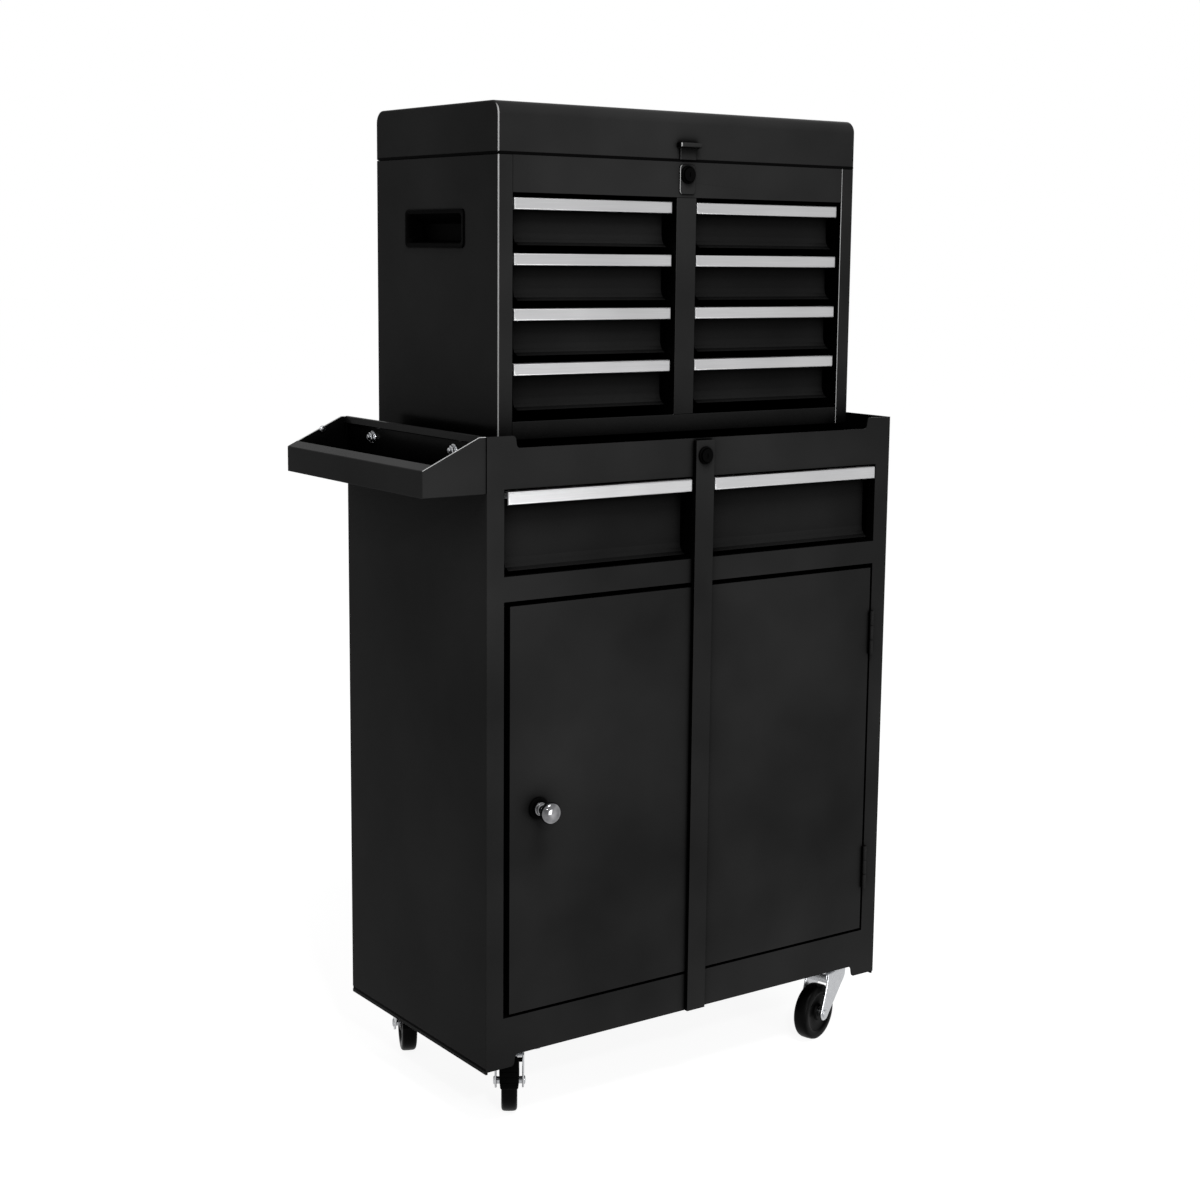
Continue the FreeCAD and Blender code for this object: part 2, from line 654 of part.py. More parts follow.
def door():
    """Pressed door panel, its knob, and the locking bar that is screwed to it."""
    left = f"{OPEN_LEFT} + door_free_gap"
    right = f"{OPEN_RIGHT} - door_hinge_gap"
    low = f"{DOOR_LOW} + door_low_gap"
    high = f"{DOOR_TOP} - door_top_gap"
    skin = f"{FRONT} - door_proud"
    outer = box("door_outer", (left, right), (skin, f"{skin} + door_depth"), (low, high))
    inner = box("door_inner", (f"{left} + sheet", f"{right} - sheet"),
                (f"{skin} + sheet", f"{skin} + door_depth + sheet"), (f"{low} + sheet", f"{high} - sheet"))
    node("door_panel", cut("door_hollow", outer, [inner]))
    length = "knob_reach - door_proud"
    points = [("0", "0"), ("knob_stem", "0"), ("knob_stem", f"{length} - knob_head"),
              ("knob_radius", f"{length} - knob_head / 2"), ("knob_radius", length), ("0", length)]
    knob = turned("knob", points)
    doc.recompute()
    top = knob.Shape.BoundBox.ZMax
    round_edges(knob, "knob_round", lambda edge: edge.BoundBox.ZMin > top - TOUCH and edge.Closed)
    turn(knob, (1, 0, 0), 90)
    place(knob, f"{left} + knob_inset", skin, f"{FOOT} + knob_height")
    node("door_knob", knob)
    bar_left = f"{MID} - post_width / 2"
    bar_right = f"{MID} + post_width / 2"
    bar_front = f"{FRONT} - bar_depth"
    bar_height = (RAIL_LOW, f"{RAIL_TOP} - bar_top_gap")
    channel = fuse("bar_channel", [
        box("bar_web", (bar_left, bar_right), (bar_front, f"{bar_front} + sheet"), bar_height),
        box("bar_left", (bar_left, f"{bar_left} + sheet"), (bar_front, skin), bar_height),
        box("bar_right", (f"{bar_right} - sheet", bar_right), (bar_front, skin), bar_height),
    ])
    hole_start = (MID, f"{bar_front} - sheet", BAR_LOCK_Z)
    hole = rod("bar_hole", "lock_radius + pin_clear", hole_start, "3 * sheet", "y")
    node("lock_bar", cut("bar_cut", channel, [hole]))


def lock_cylinder(name, x, z, front, shoulder, cam_front):
    """Lock barrel, a shaft through the rail and a cam that points up when unlocked."""
    barrel = rod(f"{name}_barrel", "lock_radius", (x, front, z), f"({shoulder}) - ({front})", "y")
    shaft_length = f"({cam_front}) + cam_thick - ({shoulder})"
    shaft = rod(f"{name}_shaft", "cam_shaft", (x, shoulder, z), shaft_length, "y")
    cam = box(f"{name}_cam", (f"{x} - cam_width / 2", f"{x} + cam_width / 2"),
              (cam_front, f"{cam_front} + cam_thick"), (f"{z} - cam_width / 2", f"{z} + cam_length"))
    key_slot = box(f"{name}_key_slot", (f"{x} - cam_thick / 4", f"{x} + cam_thick / 4"),
                   (f"{front} - sheet", f"{front} + sheet"), (f"{z} - cam_shaft", f"{z} + cam_shaft"))
    return cut(f"{name}_keyed", fuse(f"{name}_solid", [barrel, shaft, cam]), [key_slot])


def locks():
    bar_front = f"{FRONT} - bar_depth"
    bar_lock = lock_cylinder("bar_lock", MID, BAR_LOCK_Z, f"{bar_front} - lock_proud", f"{FRONT} - cam_room",
                             f"{FRAME_BACK} + cam_room")
    node("bar_lock_cylinder", bar_lock)
    plate_front = f"{CHEST_FRONT} - lock_plate_thick"
    plate_top = f"{CHEST_TOP} - lock_plate_drop"
    plate_left = f"{MID} - lock_plate_width / 2"
    plate_right = f"{MID} + lock_plate_width / 2"
    plate_low = f"{plate_top} - lock_plate_height"
    corners = [(plate_left, plate_low), (plate_right, plate_low),
               (plate_right, plate_top), (plate_left, plate_top)]
    plate = prism("lock_plate_blank", "XZ_Plane", corners, plate_front, CHEST_FRONT)
    round_edges(plate, "lock_plate_round", lambda edge: abs(direction(edge).y) > STRAIGHT)
    node("chest_lock_plate", cut("lock_plate", plate, [lock_hole("plate_hole")]))
    chest_lock = lock_cylinder("chest_lock", MID, CHEST_LOCK_Z, f"{plate_front} - lock_proud",
                               f"{CHEST_INNER_FRONT} + slide_clear", f"{CHEST_INNER_FRONT} + cam_room")
    node("chest_lock_cylinder", chest_lock)


def lock_hole(name):
    """Hole for the chest lock through its plate and the top rail."""
    start = (MID, f"{CHEST_FRONT} - 2 * lock_plate_thick", CHEST_LOCK_Z)
    return rod(name, "lock_radius + pin_clear", start, "4 * lock_plate_thick", "y")


def chest_shell():
    """Sides, back and stiles in one fold, the till with the top rail, the bottom pan and the divider."""
    open_left = f"{CHEST_LEFT} + chest_stile"
    open_right = f"{CHEST_RIGHT} - chest_stile"
    front = (CHEST_FRONT, CHEST_INNER_FRONT)
    fold = [
        (open_left, CHEST_FRONT), (CHEST_LEFT, CHEST_FRONT), (CHEST_LEFT, CHEST_BACK),
        (CHEST_RIGHT, CHEST_BACK), (CHEST_RIGHT, CHEST_FRONT), (open_right, CHEST_FRONT),
        (open_right, CHEST_INNER_FRONT), (CHEST_INNER_RIGHT, CHEST_INNER_FRONT),
        (CHEST_INNER_RIGHT, CHEST_INNER_BACK), (CHEST_INNER_LEFT, CHEST_INNER_BACK),
        (CHEST_INNER_LEFT, CHEST_INNER_FRONT), (open_left, CHEST_INNER_FRONT),
    ]
    wrap = prism("chest_fold", "XY_Plane", fold, CHEST_LOW, CHEST_TOP)
    doc.recompute()
    limits = wrap.Shape.BoundBox

    def outer_fold(edge):
        x = edge.Vertexes[0].Point.x
        at_side = x < limits.XMin + TOUCH or x > limits.XMax - TOUCH
        return at_side and abs(direction(edge).z) > STRAIGHT

    round_edges(wrap, "fold_round", outer_fold)
    middle = f"{CHEST_FRONT} + chest_depth / 2"
    grip_half = "carry_width / 2 - carry_rim"
    grip_top = f"{CHEST_TOP} - carry_drop - carry_rim"
    grip_low = f"{CHEST_TOP} - carry_drop - carry_height + carry_rim"
    window = box("carry_window", (f"{CHEST_LEFT} - sheet", f"{CHEST_RIGHT} + sheet"),
                 (f"{middle} - ({grip_half})", f"{middle} + {grip_half}"), (grip_low, grip_top))
    node("chest_wrap", cut("chest_windows", wrap, [window]))
    cups = []
    for side, wall, inward in (("left", CHEST_LEFT, 1), ("right", CHEST_RIGHT, -1)):
        cups.append(carry_cup(side, wall, inward, middle, grip_half, (grip_low, grip_top)))
    node("carry_handles", group("carry_handle_pair", cups))
    between = (open_left, open_right)
    inside = (CHEST_INNER_LEFT, CHEST_INNER_RIGHT)
    inside_depth = (CHEST_INNER_FRONT, CHEST_INNER_BACK)
    fold_depth = (CHEST_FRONT, f"{CHEST_INNER_FRONT} + sheet")
    till = fuse("till_fold", [
        box("till_rail", between, front, (ROWS_TOP, CHEST_TOP)),
        box("till_fold_line", between, fold_depth, (ROWS_TOP, f"{ROWS_TOP} + sheet")),
        box("till_floor", inside, inside_depth, (ROWS_TOP, f"{ROWS_TOP} + sheet")),
    ])
    node("chest_till", cut("till", till, [lock_hole("till_hole")]))
    pan = fuse("chest_pan_fold", [
        box("chest_pan_rail", between, front, (CHEST_LOW, ROWS_LOW)),
        box("chest_pan_line", between, fold_depth, (CHEST_LOW, f"{CHEST_LOW} + sheet")),
        box("chest_pan_floor", inside, inside_depth, (CHEST_LOW, f"{CHEST_LOW} + sheet")),
    ])
    node("chest_bottom_pan", pan)
    post_left = f"{MID} - chest_post / 2"
    post_right = f"{MID} + chest_post / 2"
    tall = (f"{CHEST_LOW} + sheet", ROWS_TOP)
    short = (ROWS_LOW, ROWS_TOP)
    divider = [box("chest_post_face", (post_left, post_right), front, short)]
    walls = (("left", post_left, f"{post_left} + sheet"), ("right", f"{post_right} - sheet", post_right))
    for side, low, high in walls:
        divider.append(box(f"chest_divider_{side}_nose", (low, high), fold_depth, short))
        divider.append(box(f"chest_divider_{side}", (low, high), inside_depth, tall))
    node("chest_centre_divider", fuse("chest_divider", divider))
    feet = []
    columns = {"left": f"{CHEST_LEFT} + chest_foot_inset", "right": f"{CHEST_RIGHT} - chest_foot_inset"}
    lines = {"front": f"{CHEST_FRONT} + chest_foot_inset", "back": f"{CHEST_BACK} - chest_foot_inset"}
    for side, x in columns.items():
        for end, y in lines.items():
            feet.append(rod(f"chest_foot_{side}_{end}", "chest_foot_radius", (x, y, DECK), "chest_foot", "z"))
    node("chest_feet", group("chest_foot_set", feet))


def carry_cup(side, wall, inward, middle, half, height):
    """Moulded hand recess: a rim outside the wall and a cup inside its window."""
    low, high = height
    rim_out = f"{wall} - ({inward}) * carry_proud"
    deep = f"{wall} + ({inward}) * carry_depth"
    floor = f"{deep} - ({inward}) * carry_wall"

    def span(a, b):
        return (a, b) if inward > 0 else (b, a)

    rim = box(f"carry_{side}_rim", span(rim_out, wall),
              (f"{middle} - ({half}) - carry_rim", f"{middle} + {half} + carry_rim"),
              (f"{low} - carry_rim", f"{high} + carry_rim"))
    cup = box(f"carry_{side}_cup", span(wall, deep), (f"{middle} - ({half})", f"{middle} + {half}"), height)
    hollow = box(f"carry_{side}_hollow", span(f"{rim_out} - ({inward}) * sheet", floor),
                 (f"{middle} - ({half}) + carry_wall", f"{middle} + {half} - carry_wall"),
                 (f"{low} + carry_wall", f"{high} - carry_wall"))
    return cut(f"carry_{side}_handle", fuse(f"carry_{side}_solid", [rim, cup]), [hollow])


def lid_profile(inset):
    """Side view of the lid, or of its hollow when inset by the sheet."""
    front = f"{CHEST_FRONT} + {inset}"
    back = f"{CHEST_BACK} - {inset}"
    low = LID_LOW if inset == "0" else f"{LID_LOW} - sheet"
    high = f"{LID_TOP} - {inset}"
    return [(front, low), (back, low), (back, high), (front, high)]


def lid():
    """Folded lid with rounded front and rear corners, its finger pull and the catch for the lock."""
    def along_top(body):
        doc.recompute()
        top = body.Shape.BoundBox.ZMax
        return lambda edge: abs(direction(edge).x) > STRAIGHT and edge.BoundBox.ZMin > top - TOUCH

    def round_an_end(edge):
        limits = outer.Tip.Shape.BoundBox
        at_end = edge.BoundBox.XMax < limits.XMin + TOUCH or edge.BoundBox.XMin > limits.XMax - TOUCH
        return at_end and edge.BoundBox.ZMax > limits.ZMin + TOUCH

    outer = prism("lid_outer", "YZ_Plane", lid_profile("0"), CHEST_LEFT, CHEST_RIGHT)
    round_edges(outer, "lid_round", along_top(outer))
    round_edges(outer, "fold_round", round_an_end)
    inner = prism("lid_inner", "YZ_Plane", lid_profile("sheet"), CHEST_INNER_LEFT, CHEST_INNER_RIGHT)
    round_edges(inner, "lid_round - sheet", along_top(inner))
    node("lid_shell", cut("lid_hollow", outer, [inner]))
    low = f"{LID_LOW} + lid_pull_rise"
    lip = f"{CHEST_FRONT} - lid_pull_reach"
    plate_front = f"{CHEST_FRONT} - lock_plate_thick"
    tab = box("lid_pull_tab", (f"{MID} - lock_plate_width / 2", f"{MID} + lock_plate_width / 2"),
              (plate_front, CHEST_FRONT), (f"{LID_LOW} + lid_gap", f"{low} + lid_pull_height"))
    top = f"{low} + lid_pull_height"
    points = [(lip, f"{top} - lid_pull_tip"), (CHEST_FRONT, low), (CHEST_FRONT, top), (lip, top)]
    half = "lid_pull_width / 2"
    ledge = prism("lid_pull_ledge", "YZ_Plane", points, f"{MID} - {half}", f"{MID} + {half}")
    doc.recompute()
    tip = ledge.Shape.BoundBox.YMin
    round_edges(ledge, "lid_pull_round", lambda edge: edge.BoundBox.YMax < tip + TOUCH)
    node("lid_pull", fuse("lid_pull_solid", [tab, ledge]))
    cam_plane = (f"{CHEST_INNER_FRONT} + cam_room", f"{CHEST_INNER_FRONT} + cam_room + cam_thick")
    hang = f"{MID} + cam_length + slide_clear * 3"
    hook_top = f"{CHEST_LOCK_Z} - cam_width / 2 - slide_clear * 2"
    hook_low = f"{hook_top} - catch_width"
    across = (hang, f"{hang} + catch_width")
    node("lid_catch", fuse("catch", [
        box("catch_foot", across, (CHEST_INNER_FRONT, cam_plane[1]),
            (f"{LID_LOW} + lid_pull_rise / 2", f"{LID_LOW} + catch_rise")),
        box("catch_strip", across, cam_plane, (hook_low, f"{LID_LOW} + catch_rise")),
        box("catch_hook", (f"{hang} - catch_width", across[1]), cam_plane, (hook_low, hook_top)),
    ]))


def lid_hinge():
    """Piano hinge on the back, its knuckles in turn on the chest's leaf with the pin and on the lid's."""
    axis_y = f"{CHEST_BACK} + lid_hinge_stand"
    axis_z = f"{CHEST_TOP} + lid_gap / 2"
    start = f"{CHEST_LEFT} + lid_hinge_inset"
    length = "(chest_width - 2 * lid_hinge_inset)"
    leaf_x = (start, f"{start} + {length}")
    leaf_y = (CHEST_BACK, f"{CHEST_BACK} + hinge_leaf")
    gap = "hinge_radius + knuckle_gap"
    chest_leaf = [
        box("lid_hinge_lower_leaf", leaf_x, leaf_y,
            (f"{axis_z} - ({gap}) - lid_hinge_leaf", f"{axis_z} - ({gap})")),
        rod("lid_hinge_pin", "hinge_pin", (start, axis_y, axis_z), length, "x"),
    ]
    lid_leaf = [
        box("lid_hinge_upper_leaf", leaf_x, leaf_y,
            (f"{axis_z} + {gap}", f"{axis_z} + {gap} + lid_hinge_leaf")),
    ]
    step = f"{length} / {LID_KNUCKLES}"
    for number in range(LID_KNUCKLES):
        low = f"{start} + {number} * {step} + knuckle_gap / 2"
        span = f"{step} - knuckle_gap"
        barrel = rod(f"lid_knuckle_{number}", "hinge_radius", (low, axis_y, axis_z), span, "x")
        neck_x = (low, f"{low} + {span}")
        if number % 2 == 0:
            neck_z = (f"{axis_z} - ({gap}) - hinge_leaf", f"{axis_z} - hinge_pin")
            chest_leaf += [barrel, box(f"lid_neck_{number}", neck_x, (CHEST_BACK, axis_y), neck_z)]
        else:
            neck_z = (f"{axis_z} + hinge_pin", f"{axis_z} + {gap} + hinge_leaf")
            lid_leaf += [barrel, box(f"lid_neck_{number}", neck_x, (CHEST_BACK, axis_y), neck_z)]
    bore = rod("lid_hinge_bore", "hinge_pin + pin_clear", (CHEST_LEFT, axis_y, axis_z), "chest_width", "x")
    node("lid_hinge_chest_leaf", fuse("lid_hinge_lower", chest_leaf))
    node("lid_hinge_lid_leaf", cut("lid_hinge_upper", fuse("lid_hinge_upper_solid", lid_leaf), [bore]))


# Heights in a caster, from the base pan down
PLATE_LOW = f"{RAIL_LOW} - caster_plate"
BOSS_LOW = f"{PLATE_LOW} - caster_boss_height"
FORK_TOP = f"{BOSS_LOW} - slide_clear"
FORK_UNDER = f"{FORK_TOP} - fork_wall"
PEDAL_PIN_Z = f"{FORK_TOP} - pedal_pin_drop"


def caster_plate(corner, x, y):
    """Bolted top plate with the swivel boss and the king pin that holds the fork."""
    head_top = f"{FORK_UNDER} - slide_clear"
    head_low = f"{head_top} - king_pin_head_height"
    return fuse(f"caster_plate_{corner}", [
        box(f"plate_{corner}", (f"{x} - caster_plate_x / 2", f"{x} + caster_plate_x / 2"),
            (f"{y} - caster_plate_y / 2", f"{y} + caster_plate_y / 2"), (PLATE_LOW, RAIL_LOW)),
        rod(f"boss_{corner}", "caster_boss", (x, y, BOSS_LOW), f"{PLATE_LOW} - ({BOSS_LOW})", "z"),
        rod(f"king_pin_{corner}", "king_pin", (x, y, head_low), f"{PLATE_LOW} - ({head_low})", "z"),
        rod(f"king_pin_head_{corner}", "king_pin_head", (x, y, head_low), "king_pin_head_height", "z"),
    ])


def caster_fork(corner, braked):
    """Pressed fork round the wheel, with its riveted axle; the swivel axis is the body's own Z axis."""
    inner = "wheel_width / 2 + fork_side_gap"
    outer = f"{inner} + fork_leg"
    axle_z = "wheel_radius"
    leg = [("0 - fork_nose", FORK_TOP), ("0 - fork_nose", f"{PEDAL_PIN_Z} - fork_boss / 2"),
           ("caster_trail - fork_boss", axle_z), ("caster_trail - fork_boss / 2", f"{axle_z} - fork_boss"),
           ("caster_trail + fork_boss / 2", f"{axle_z} - fork_boss"), ("caster_trail + fork_boss", axle_z),
           ("fork_tail + fork_boss", FORK_TOP)]
    parts = [
        prism(f"fork_{corner}_leg_a", "XZ_Plane", leg, inner, outer),
        prism(f"fork_{corner}_leg_b", "XZ_Plane", leg, f"0 - ({outer})", f"0 - ({inner})"),
        box(f"fork_{corner}_crown", ("0 - fork_nose", "fork_tail + fork_boss"),
            (f"0 - ({outer})", outer), (FORK_UNDER, FORK_TOP)),
        rod(f"fork_{corner}_axle", "axle_radius", ("caster_trail", f"0 - ({outer})", axle_z),
            f"2 * ({outer})", "y"),
    ]
    bore_start = ("0", "0", f"{FORK_UNDER} - fork_wall")
    holes = [rod(f"fork_{corner}_bore", "king_pin + pin_clear", bore_start, "3 * fork_wall", "z")]
    if braked:
        pin_start = ("0 - pedal_pin_nose", f"0 - ({outer}) - fork_leg", PEDAL_PIN_Z)
        holes.append(rod(f"fork_{corner}_pedal_bore", "pedal_pin + pin_clear", pin_start,
                         f"2 * ({outer} + fork_leg)", "y"))
    return cut(f"fork_{corner}", fuse(f"fork_{corner}_solid", parts), holes)


def caster_wheel(corner):
    """Moulded wheel with a rounded tread, dished sides and a hub; the axle is the body's own Z axis."""
    half = "wheel_width / 2"
    bore = "axle_radius + pin_clear"
    rim = "wheel_radius - wheel_rim"
    dish = f"{half} - wheel_dish"
    points = [
        (bore, f"0 - {half}"), ("wheel_hub", f"0 - {half}"), ("wheel_hub", f"0 - ({dish})"),
        (rim, f"0 - ({dish})"), (rim, f"0 - {half}"), ("wheel_radius", f"0 - {half}"),
        ("wheel_radius", half), (rim, half), (rim, dish),
        ("wheel_hub", dish), ("wheel_hub", half), (bore, half),
    ]
    wheel = turned(f"wheel_{corner}", points)
    doc.recompute()
    reach = wheel.Shape.BoundBox.XMax
    round_edges(wheel, "wheel_round", lambda edge: edge.Closed and edge.BoundBox.XMax > reach - TOUCH)
    return wheel


def brake_pedal(corner):
    """Pedal hung on a pin between the fork's legs, in front of the wheel's upper half."""
    outer = "wheel_width / 2 + fork_side_gap + fork_leg"
    half = "pedal_width / 2"
    arm = "wheel_width / 2 - fork_leg"
    nose = "0 - pedal_nose"
    top = f"{FORK_UNDER} - slide_clear"
    return fuse(f"pedal_{corner}", [
        box(f"pedal_{corner}_pad", (nose, f"{nose} + pedal_thick"), (f"0 - {half}", half),
            ("pedal_low", top)),
        box(f"pedal_{corner}_arm", (nose, "0 - pedal_pin_nose"), (f"0 - ({arm})", arm),
            (f"{PEDAL_PIN_Z} - pedal_pin", f"{PEDAL_PIN_Z} + pedal_pin")),
        rod(f"pedal_{corner}_pin", "pedal_pin", ("0 - pedal_pin_nose", f"0 - ({outer})", PEDAL_PIN_Z),
            f"2 * ({outer})", "y"),
    ])


def swivel_place(corner):
    """Where a corner's caster is bolted under the cabinet."""
    end, side = corner.split("_")
    x = f"{LEFT} + caster_{end}_x" if side == "left" else f"{RIGHT} - caster_{end}_x"
    y = f"{FRONT} + caster_front_y" if end == "front" else f"{BACK} - caster_rear_y"
    return x, y


def casters():
    plates = []
    for corner, heading in CASTER_HEADINGS.items():
        x, y = swivel_place(corner)
        braked = corner in BRAKED_CASTERS
        plates.append(caster_plate(corner, x, y))
        fork = caster_fork(corner, braked)
        turn(fork, (0, 0, 1), heading)
        place(fork, x, y, "0")
        node(f"caster_fork_{corner}", fork)
        wheel = caster_wheel(corner)
        upright = FreeCAD.Rotation(FreeCAD.Vector(0, 0, 1), heading)
        lying = FreeCAD.Rotation(FreeCAD.Vector(1, 0, 0), 90)
        wheel.Placement = FreeCAD.Placement(FreeCAD.Vector(), upright.multiply(lying))
        across = math.cos(math.radians(heading))
        along = math.sin(math.radians(heading))
        place(wheel, f"{x} + ({across}) * caster_trail", f"{y} + ({along}) * caster_trail", "wheel_radius")
        node(f"caster_wheel_{corner}", wheel)
        if braked:
            pedal = brake_pedal(corner)
            turn(pedal, (0, 0, 1), heading)
            place(pedal, x, y, "0")
            node(f"brake_pedal_{corner}", pedal)
    node("caster_plates", group("caster_plate_set", plates))


front_frame()
cabinet_shell()
cabinet_drawers()
side_tray()
hinge_leaves()
door()
locks()
chest_shell()
chest_drawers()
lid()
lid_hinge()
casters()
doc.recompute()

for item in doc.Objects:
    if "Invalid" in item.State or "Error" in item.State:
        raise RuntimeError(f"{item.Name} failed: {item.State}")
for solid in nodes:
    if solid.Shape.isNull() or not solid.Shape.isValid() or not solid.Shape.Solids:
        raise RuntimeError(f"{solid.Label} has no valid shape")

os.makedirs("parts", exist_ok=True)
for solid in nodes:
    solid.Shape.exportStep(f"parts/{solid.Label}.step")
print(len(nodes), "sub-parts written")
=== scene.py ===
import json
import math

import bmesh
import bpy
from mathutils import Matrix, Vector


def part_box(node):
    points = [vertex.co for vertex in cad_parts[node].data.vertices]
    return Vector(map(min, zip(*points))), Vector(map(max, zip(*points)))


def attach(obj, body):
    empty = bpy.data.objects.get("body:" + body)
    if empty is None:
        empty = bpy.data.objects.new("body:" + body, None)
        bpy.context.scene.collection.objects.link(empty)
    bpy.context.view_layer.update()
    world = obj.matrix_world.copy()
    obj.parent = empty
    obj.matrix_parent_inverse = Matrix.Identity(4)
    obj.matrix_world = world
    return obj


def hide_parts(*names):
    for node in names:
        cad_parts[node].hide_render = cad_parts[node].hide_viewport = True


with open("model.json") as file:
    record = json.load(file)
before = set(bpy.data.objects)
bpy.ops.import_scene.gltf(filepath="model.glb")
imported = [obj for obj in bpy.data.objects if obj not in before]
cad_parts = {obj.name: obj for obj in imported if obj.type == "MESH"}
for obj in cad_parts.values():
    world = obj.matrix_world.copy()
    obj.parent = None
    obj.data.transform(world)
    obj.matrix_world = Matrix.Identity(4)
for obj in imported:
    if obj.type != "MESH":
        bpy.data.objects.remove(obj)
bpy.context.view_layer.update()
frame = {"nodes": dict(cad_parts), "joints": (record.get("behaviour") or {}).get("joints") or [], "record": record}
NODES = frame["nodes"]
MM = 0.001

# Looks of a black steel tool chest on a rolling cabinet, built round its frame.
# Metres, +Z up, front towards -Y. Profiles and outlines are in millimetres.

JOINTS = {joint["name"]: joint for joint in frame["joints"]}
CORNERS = ("front_left", "front_right", "rear_left", "rear_right")
BRAKED = ("front_left", "rear_left")

# Floor: its height, half its side and the share of light that it gives back
FLOOR_Z = 0.0
FLOOR_HALF = 30
FLOOR_SHADOW = 0.3
# Strength of the sky's light on the part
SKY_LIGHT = 0.3
# Tone of the highlight painted on a fold
FOLD_HIGHLIGHT_TONE = 0.4
# Share of open sky below which the painted shade of a recess is darkest, and above which a face has its full tint
DARK_BELOW, OPEN_ABOVE = 0.58, 0.97
# Product of two parts of the normal that counts as the middle of a fold, where the painted highlight has its full
# tone
FOLD_MIDDLE = 0.46
# How far paint and plastic look for what shades them, for the shade painted into their recesses
PAINT_SHADE_REACH = 80 * MM
PLASTIC_SHADE_REACH = 40 * MM
# Bevels of cut edges, of the plain facets that carry a painted fold highlight, and the angles from which edges are
# bevelled or sharp
EDGE_BEVEL = 0.35 * MM
PULL_BEVEL = 0.7 * MM
HIGHLIGHT_FACET = 0.45 * MM
BEVEL_ANGLE = math.radians(40)
HIGHLIGHT_FACET_ANGLE = math.radians(60)
SHARP_ANGLE = math.radians(32)


# Camera at the photograph's place and angle

CAMERA_PLACE = Vector((-1.25335, -1.7855, 0.8994))
CAMERA_YAW = math.radians(35.852)
CAMERA_PITCH = math.radians(8.908)
CAMERA_ROLL = math.radians(0.686)
IMAGE_SIDE = 1200
FOCAL_PIXELS = 2010.707
AXIS_PIXEL = (630.09, 567.44)


def make_camera():
    data = bpy.data.cameras.new("camera")
    data.sensor_width = 36.0
    data.lens = FOCAL_PIXELS / IMAGE_SIDE * data.sensor_width
    data.shift_x = (IMAGE_SIDE / 2 - AXIS_PIXEL[0]) / IMAGE_SIDE
    data.shift_y = (AXIS_PIXEL[1] - IMAGE_SIDE / 2) / IMAGE_SIDE
    camera = bpy.data.objects.new("camera", data)
    bpy.context.scene.collection.objects.link(camera)
    level = math.cos(CAMERA_PITCH)
    ahead = Vector((math.sin(CAMERA_YAW) * level, math.cos(CAMERA_YAW) * level, -math.sin(CAMERA_PITCH)))
    flat_right = Vector((math.cos(CAMERA_YAW), -math.sin(CAMERA_YAW), 0))
    flat_up = flat_right.cross(ahead)
    right = flat_right * math.cos(CAMERA_ROLL) + flat_up * math.sin(CAMERA_ROLL)
    up = flat_up * math.cos(CAMERA_ROLL) - flat_right * math.sin(CAMERA_ROLL)
    turn = Matrix((right, up, -ahead)).transposed().to_4x4()
    camera.matrix_world = Matrix.Translation(CAMERA_PLACE) @ turn
    bpy.context.scene.camera = camera


# Light, floor and background

def node_tree(owner):
    owner.use_nodes = True
    owner.node_tree.nodes.clear()
    return owner.node_tree.nodes, owner.node_tree.links


def seen_directly(nodes, links):
    """1 for camera, glossy and transmission rays, which see the background as plain white."""
    path = nodes.new("ShaderNodeLightPath")
    total = path.outputs["Is Camera Ray"]
    for name in ("Is Glossy Ray", "Is Transmission Ray"):
        either = nodes.new("ShaderNodeMath")
        either.operation = "MAXIMUM"
        links.new(total, either.inputs[0])
        links.new(path.outputs[name], either.inputs[1])
        total = either.outputs[0]
    return total


def make_world():
    world = bpy.data.worlds.new("studio")
    bpy.context.scene.world = world
    nodes, links = node_tree(world)
    lighting = nodes.new("ShaderNodeBackground")
    lighting.inputs["Color"].default_value = (1, 1, 1, 1)
    lighting.inputs["Strength"].default_value = SKY_LIGHT
    shown = nodes.new("ShaderNodeBackground")
    shown.inputs["Color"].default_value = (1, 1, 1, 1)
    shown.inputs["Strength"].default_value = 1.0
    mix = nodes.new("ShaderNodeMixShader")
    links.new(seen_directly(nodes, links), mix.inputs["Fac"])
    links.new(lighting.outputs[0], mix.inputs[1])
    links.new(shown.outputs[0], mix.inputs[2])
    output = nodes.new("ShaderNodeOutputWorld")
    links.new(mix.outputs[0], output.inputs["Surface"])


def make_floor():
    mesh = bpy.data.meshes.new("floor")
    signs = ((-1, -1), (1, -1), (1, 1), (-1, 1))
    corners = [(x * FLOOR_HALF, y * FLOOR_HALF, FLOOR_Z) for x, y in signs]
    mesh.from_pydata(corners, [], [(0, 1, 2, 3)])
    floor = bpy.data.objects.new("floor", mesh)
    bpy.context.scene.collection.objects.link(floor)
    material = bpy.data.materials.new("floor_white")
    nodes, links = node_tree(material)
    matte = nodes.new("ShaderNodeBsdfDiffuse")
    matte.inputs["Color"].default_value = (FLOOR_SHADOW, FLOOR_SHADOW, FLOOR_SHADOW, 1)
    glow = nodes.new("ShaderNodeEmission")
    glow.inputs["Color"].default_value = (1, 1, 1, 1)
    level = nodes.new("ShaderNodeMath")
    level.operation = "MULTIPLY"
    level.inputs[1].default_value = 1.0 - SKY_LIGHT * FLOOR_SHADOW
    links.new(seen_directly(nodes, links), level.inputs[0])
    links.new(level.outputs[0], glow.inputs["Strength"])
    both = nodes.new("ShaderNodeAddShader")
    links.new(matte.outputs[0], both.inputs[0])
    links.new(glow.outputs[0], both.inputs[1])
    output = nodes.new("ShaderNodeOutputMaterial")
    links.new(both.outputs[0], output.inputs["Surface"])
    mesh.materials.append(material)


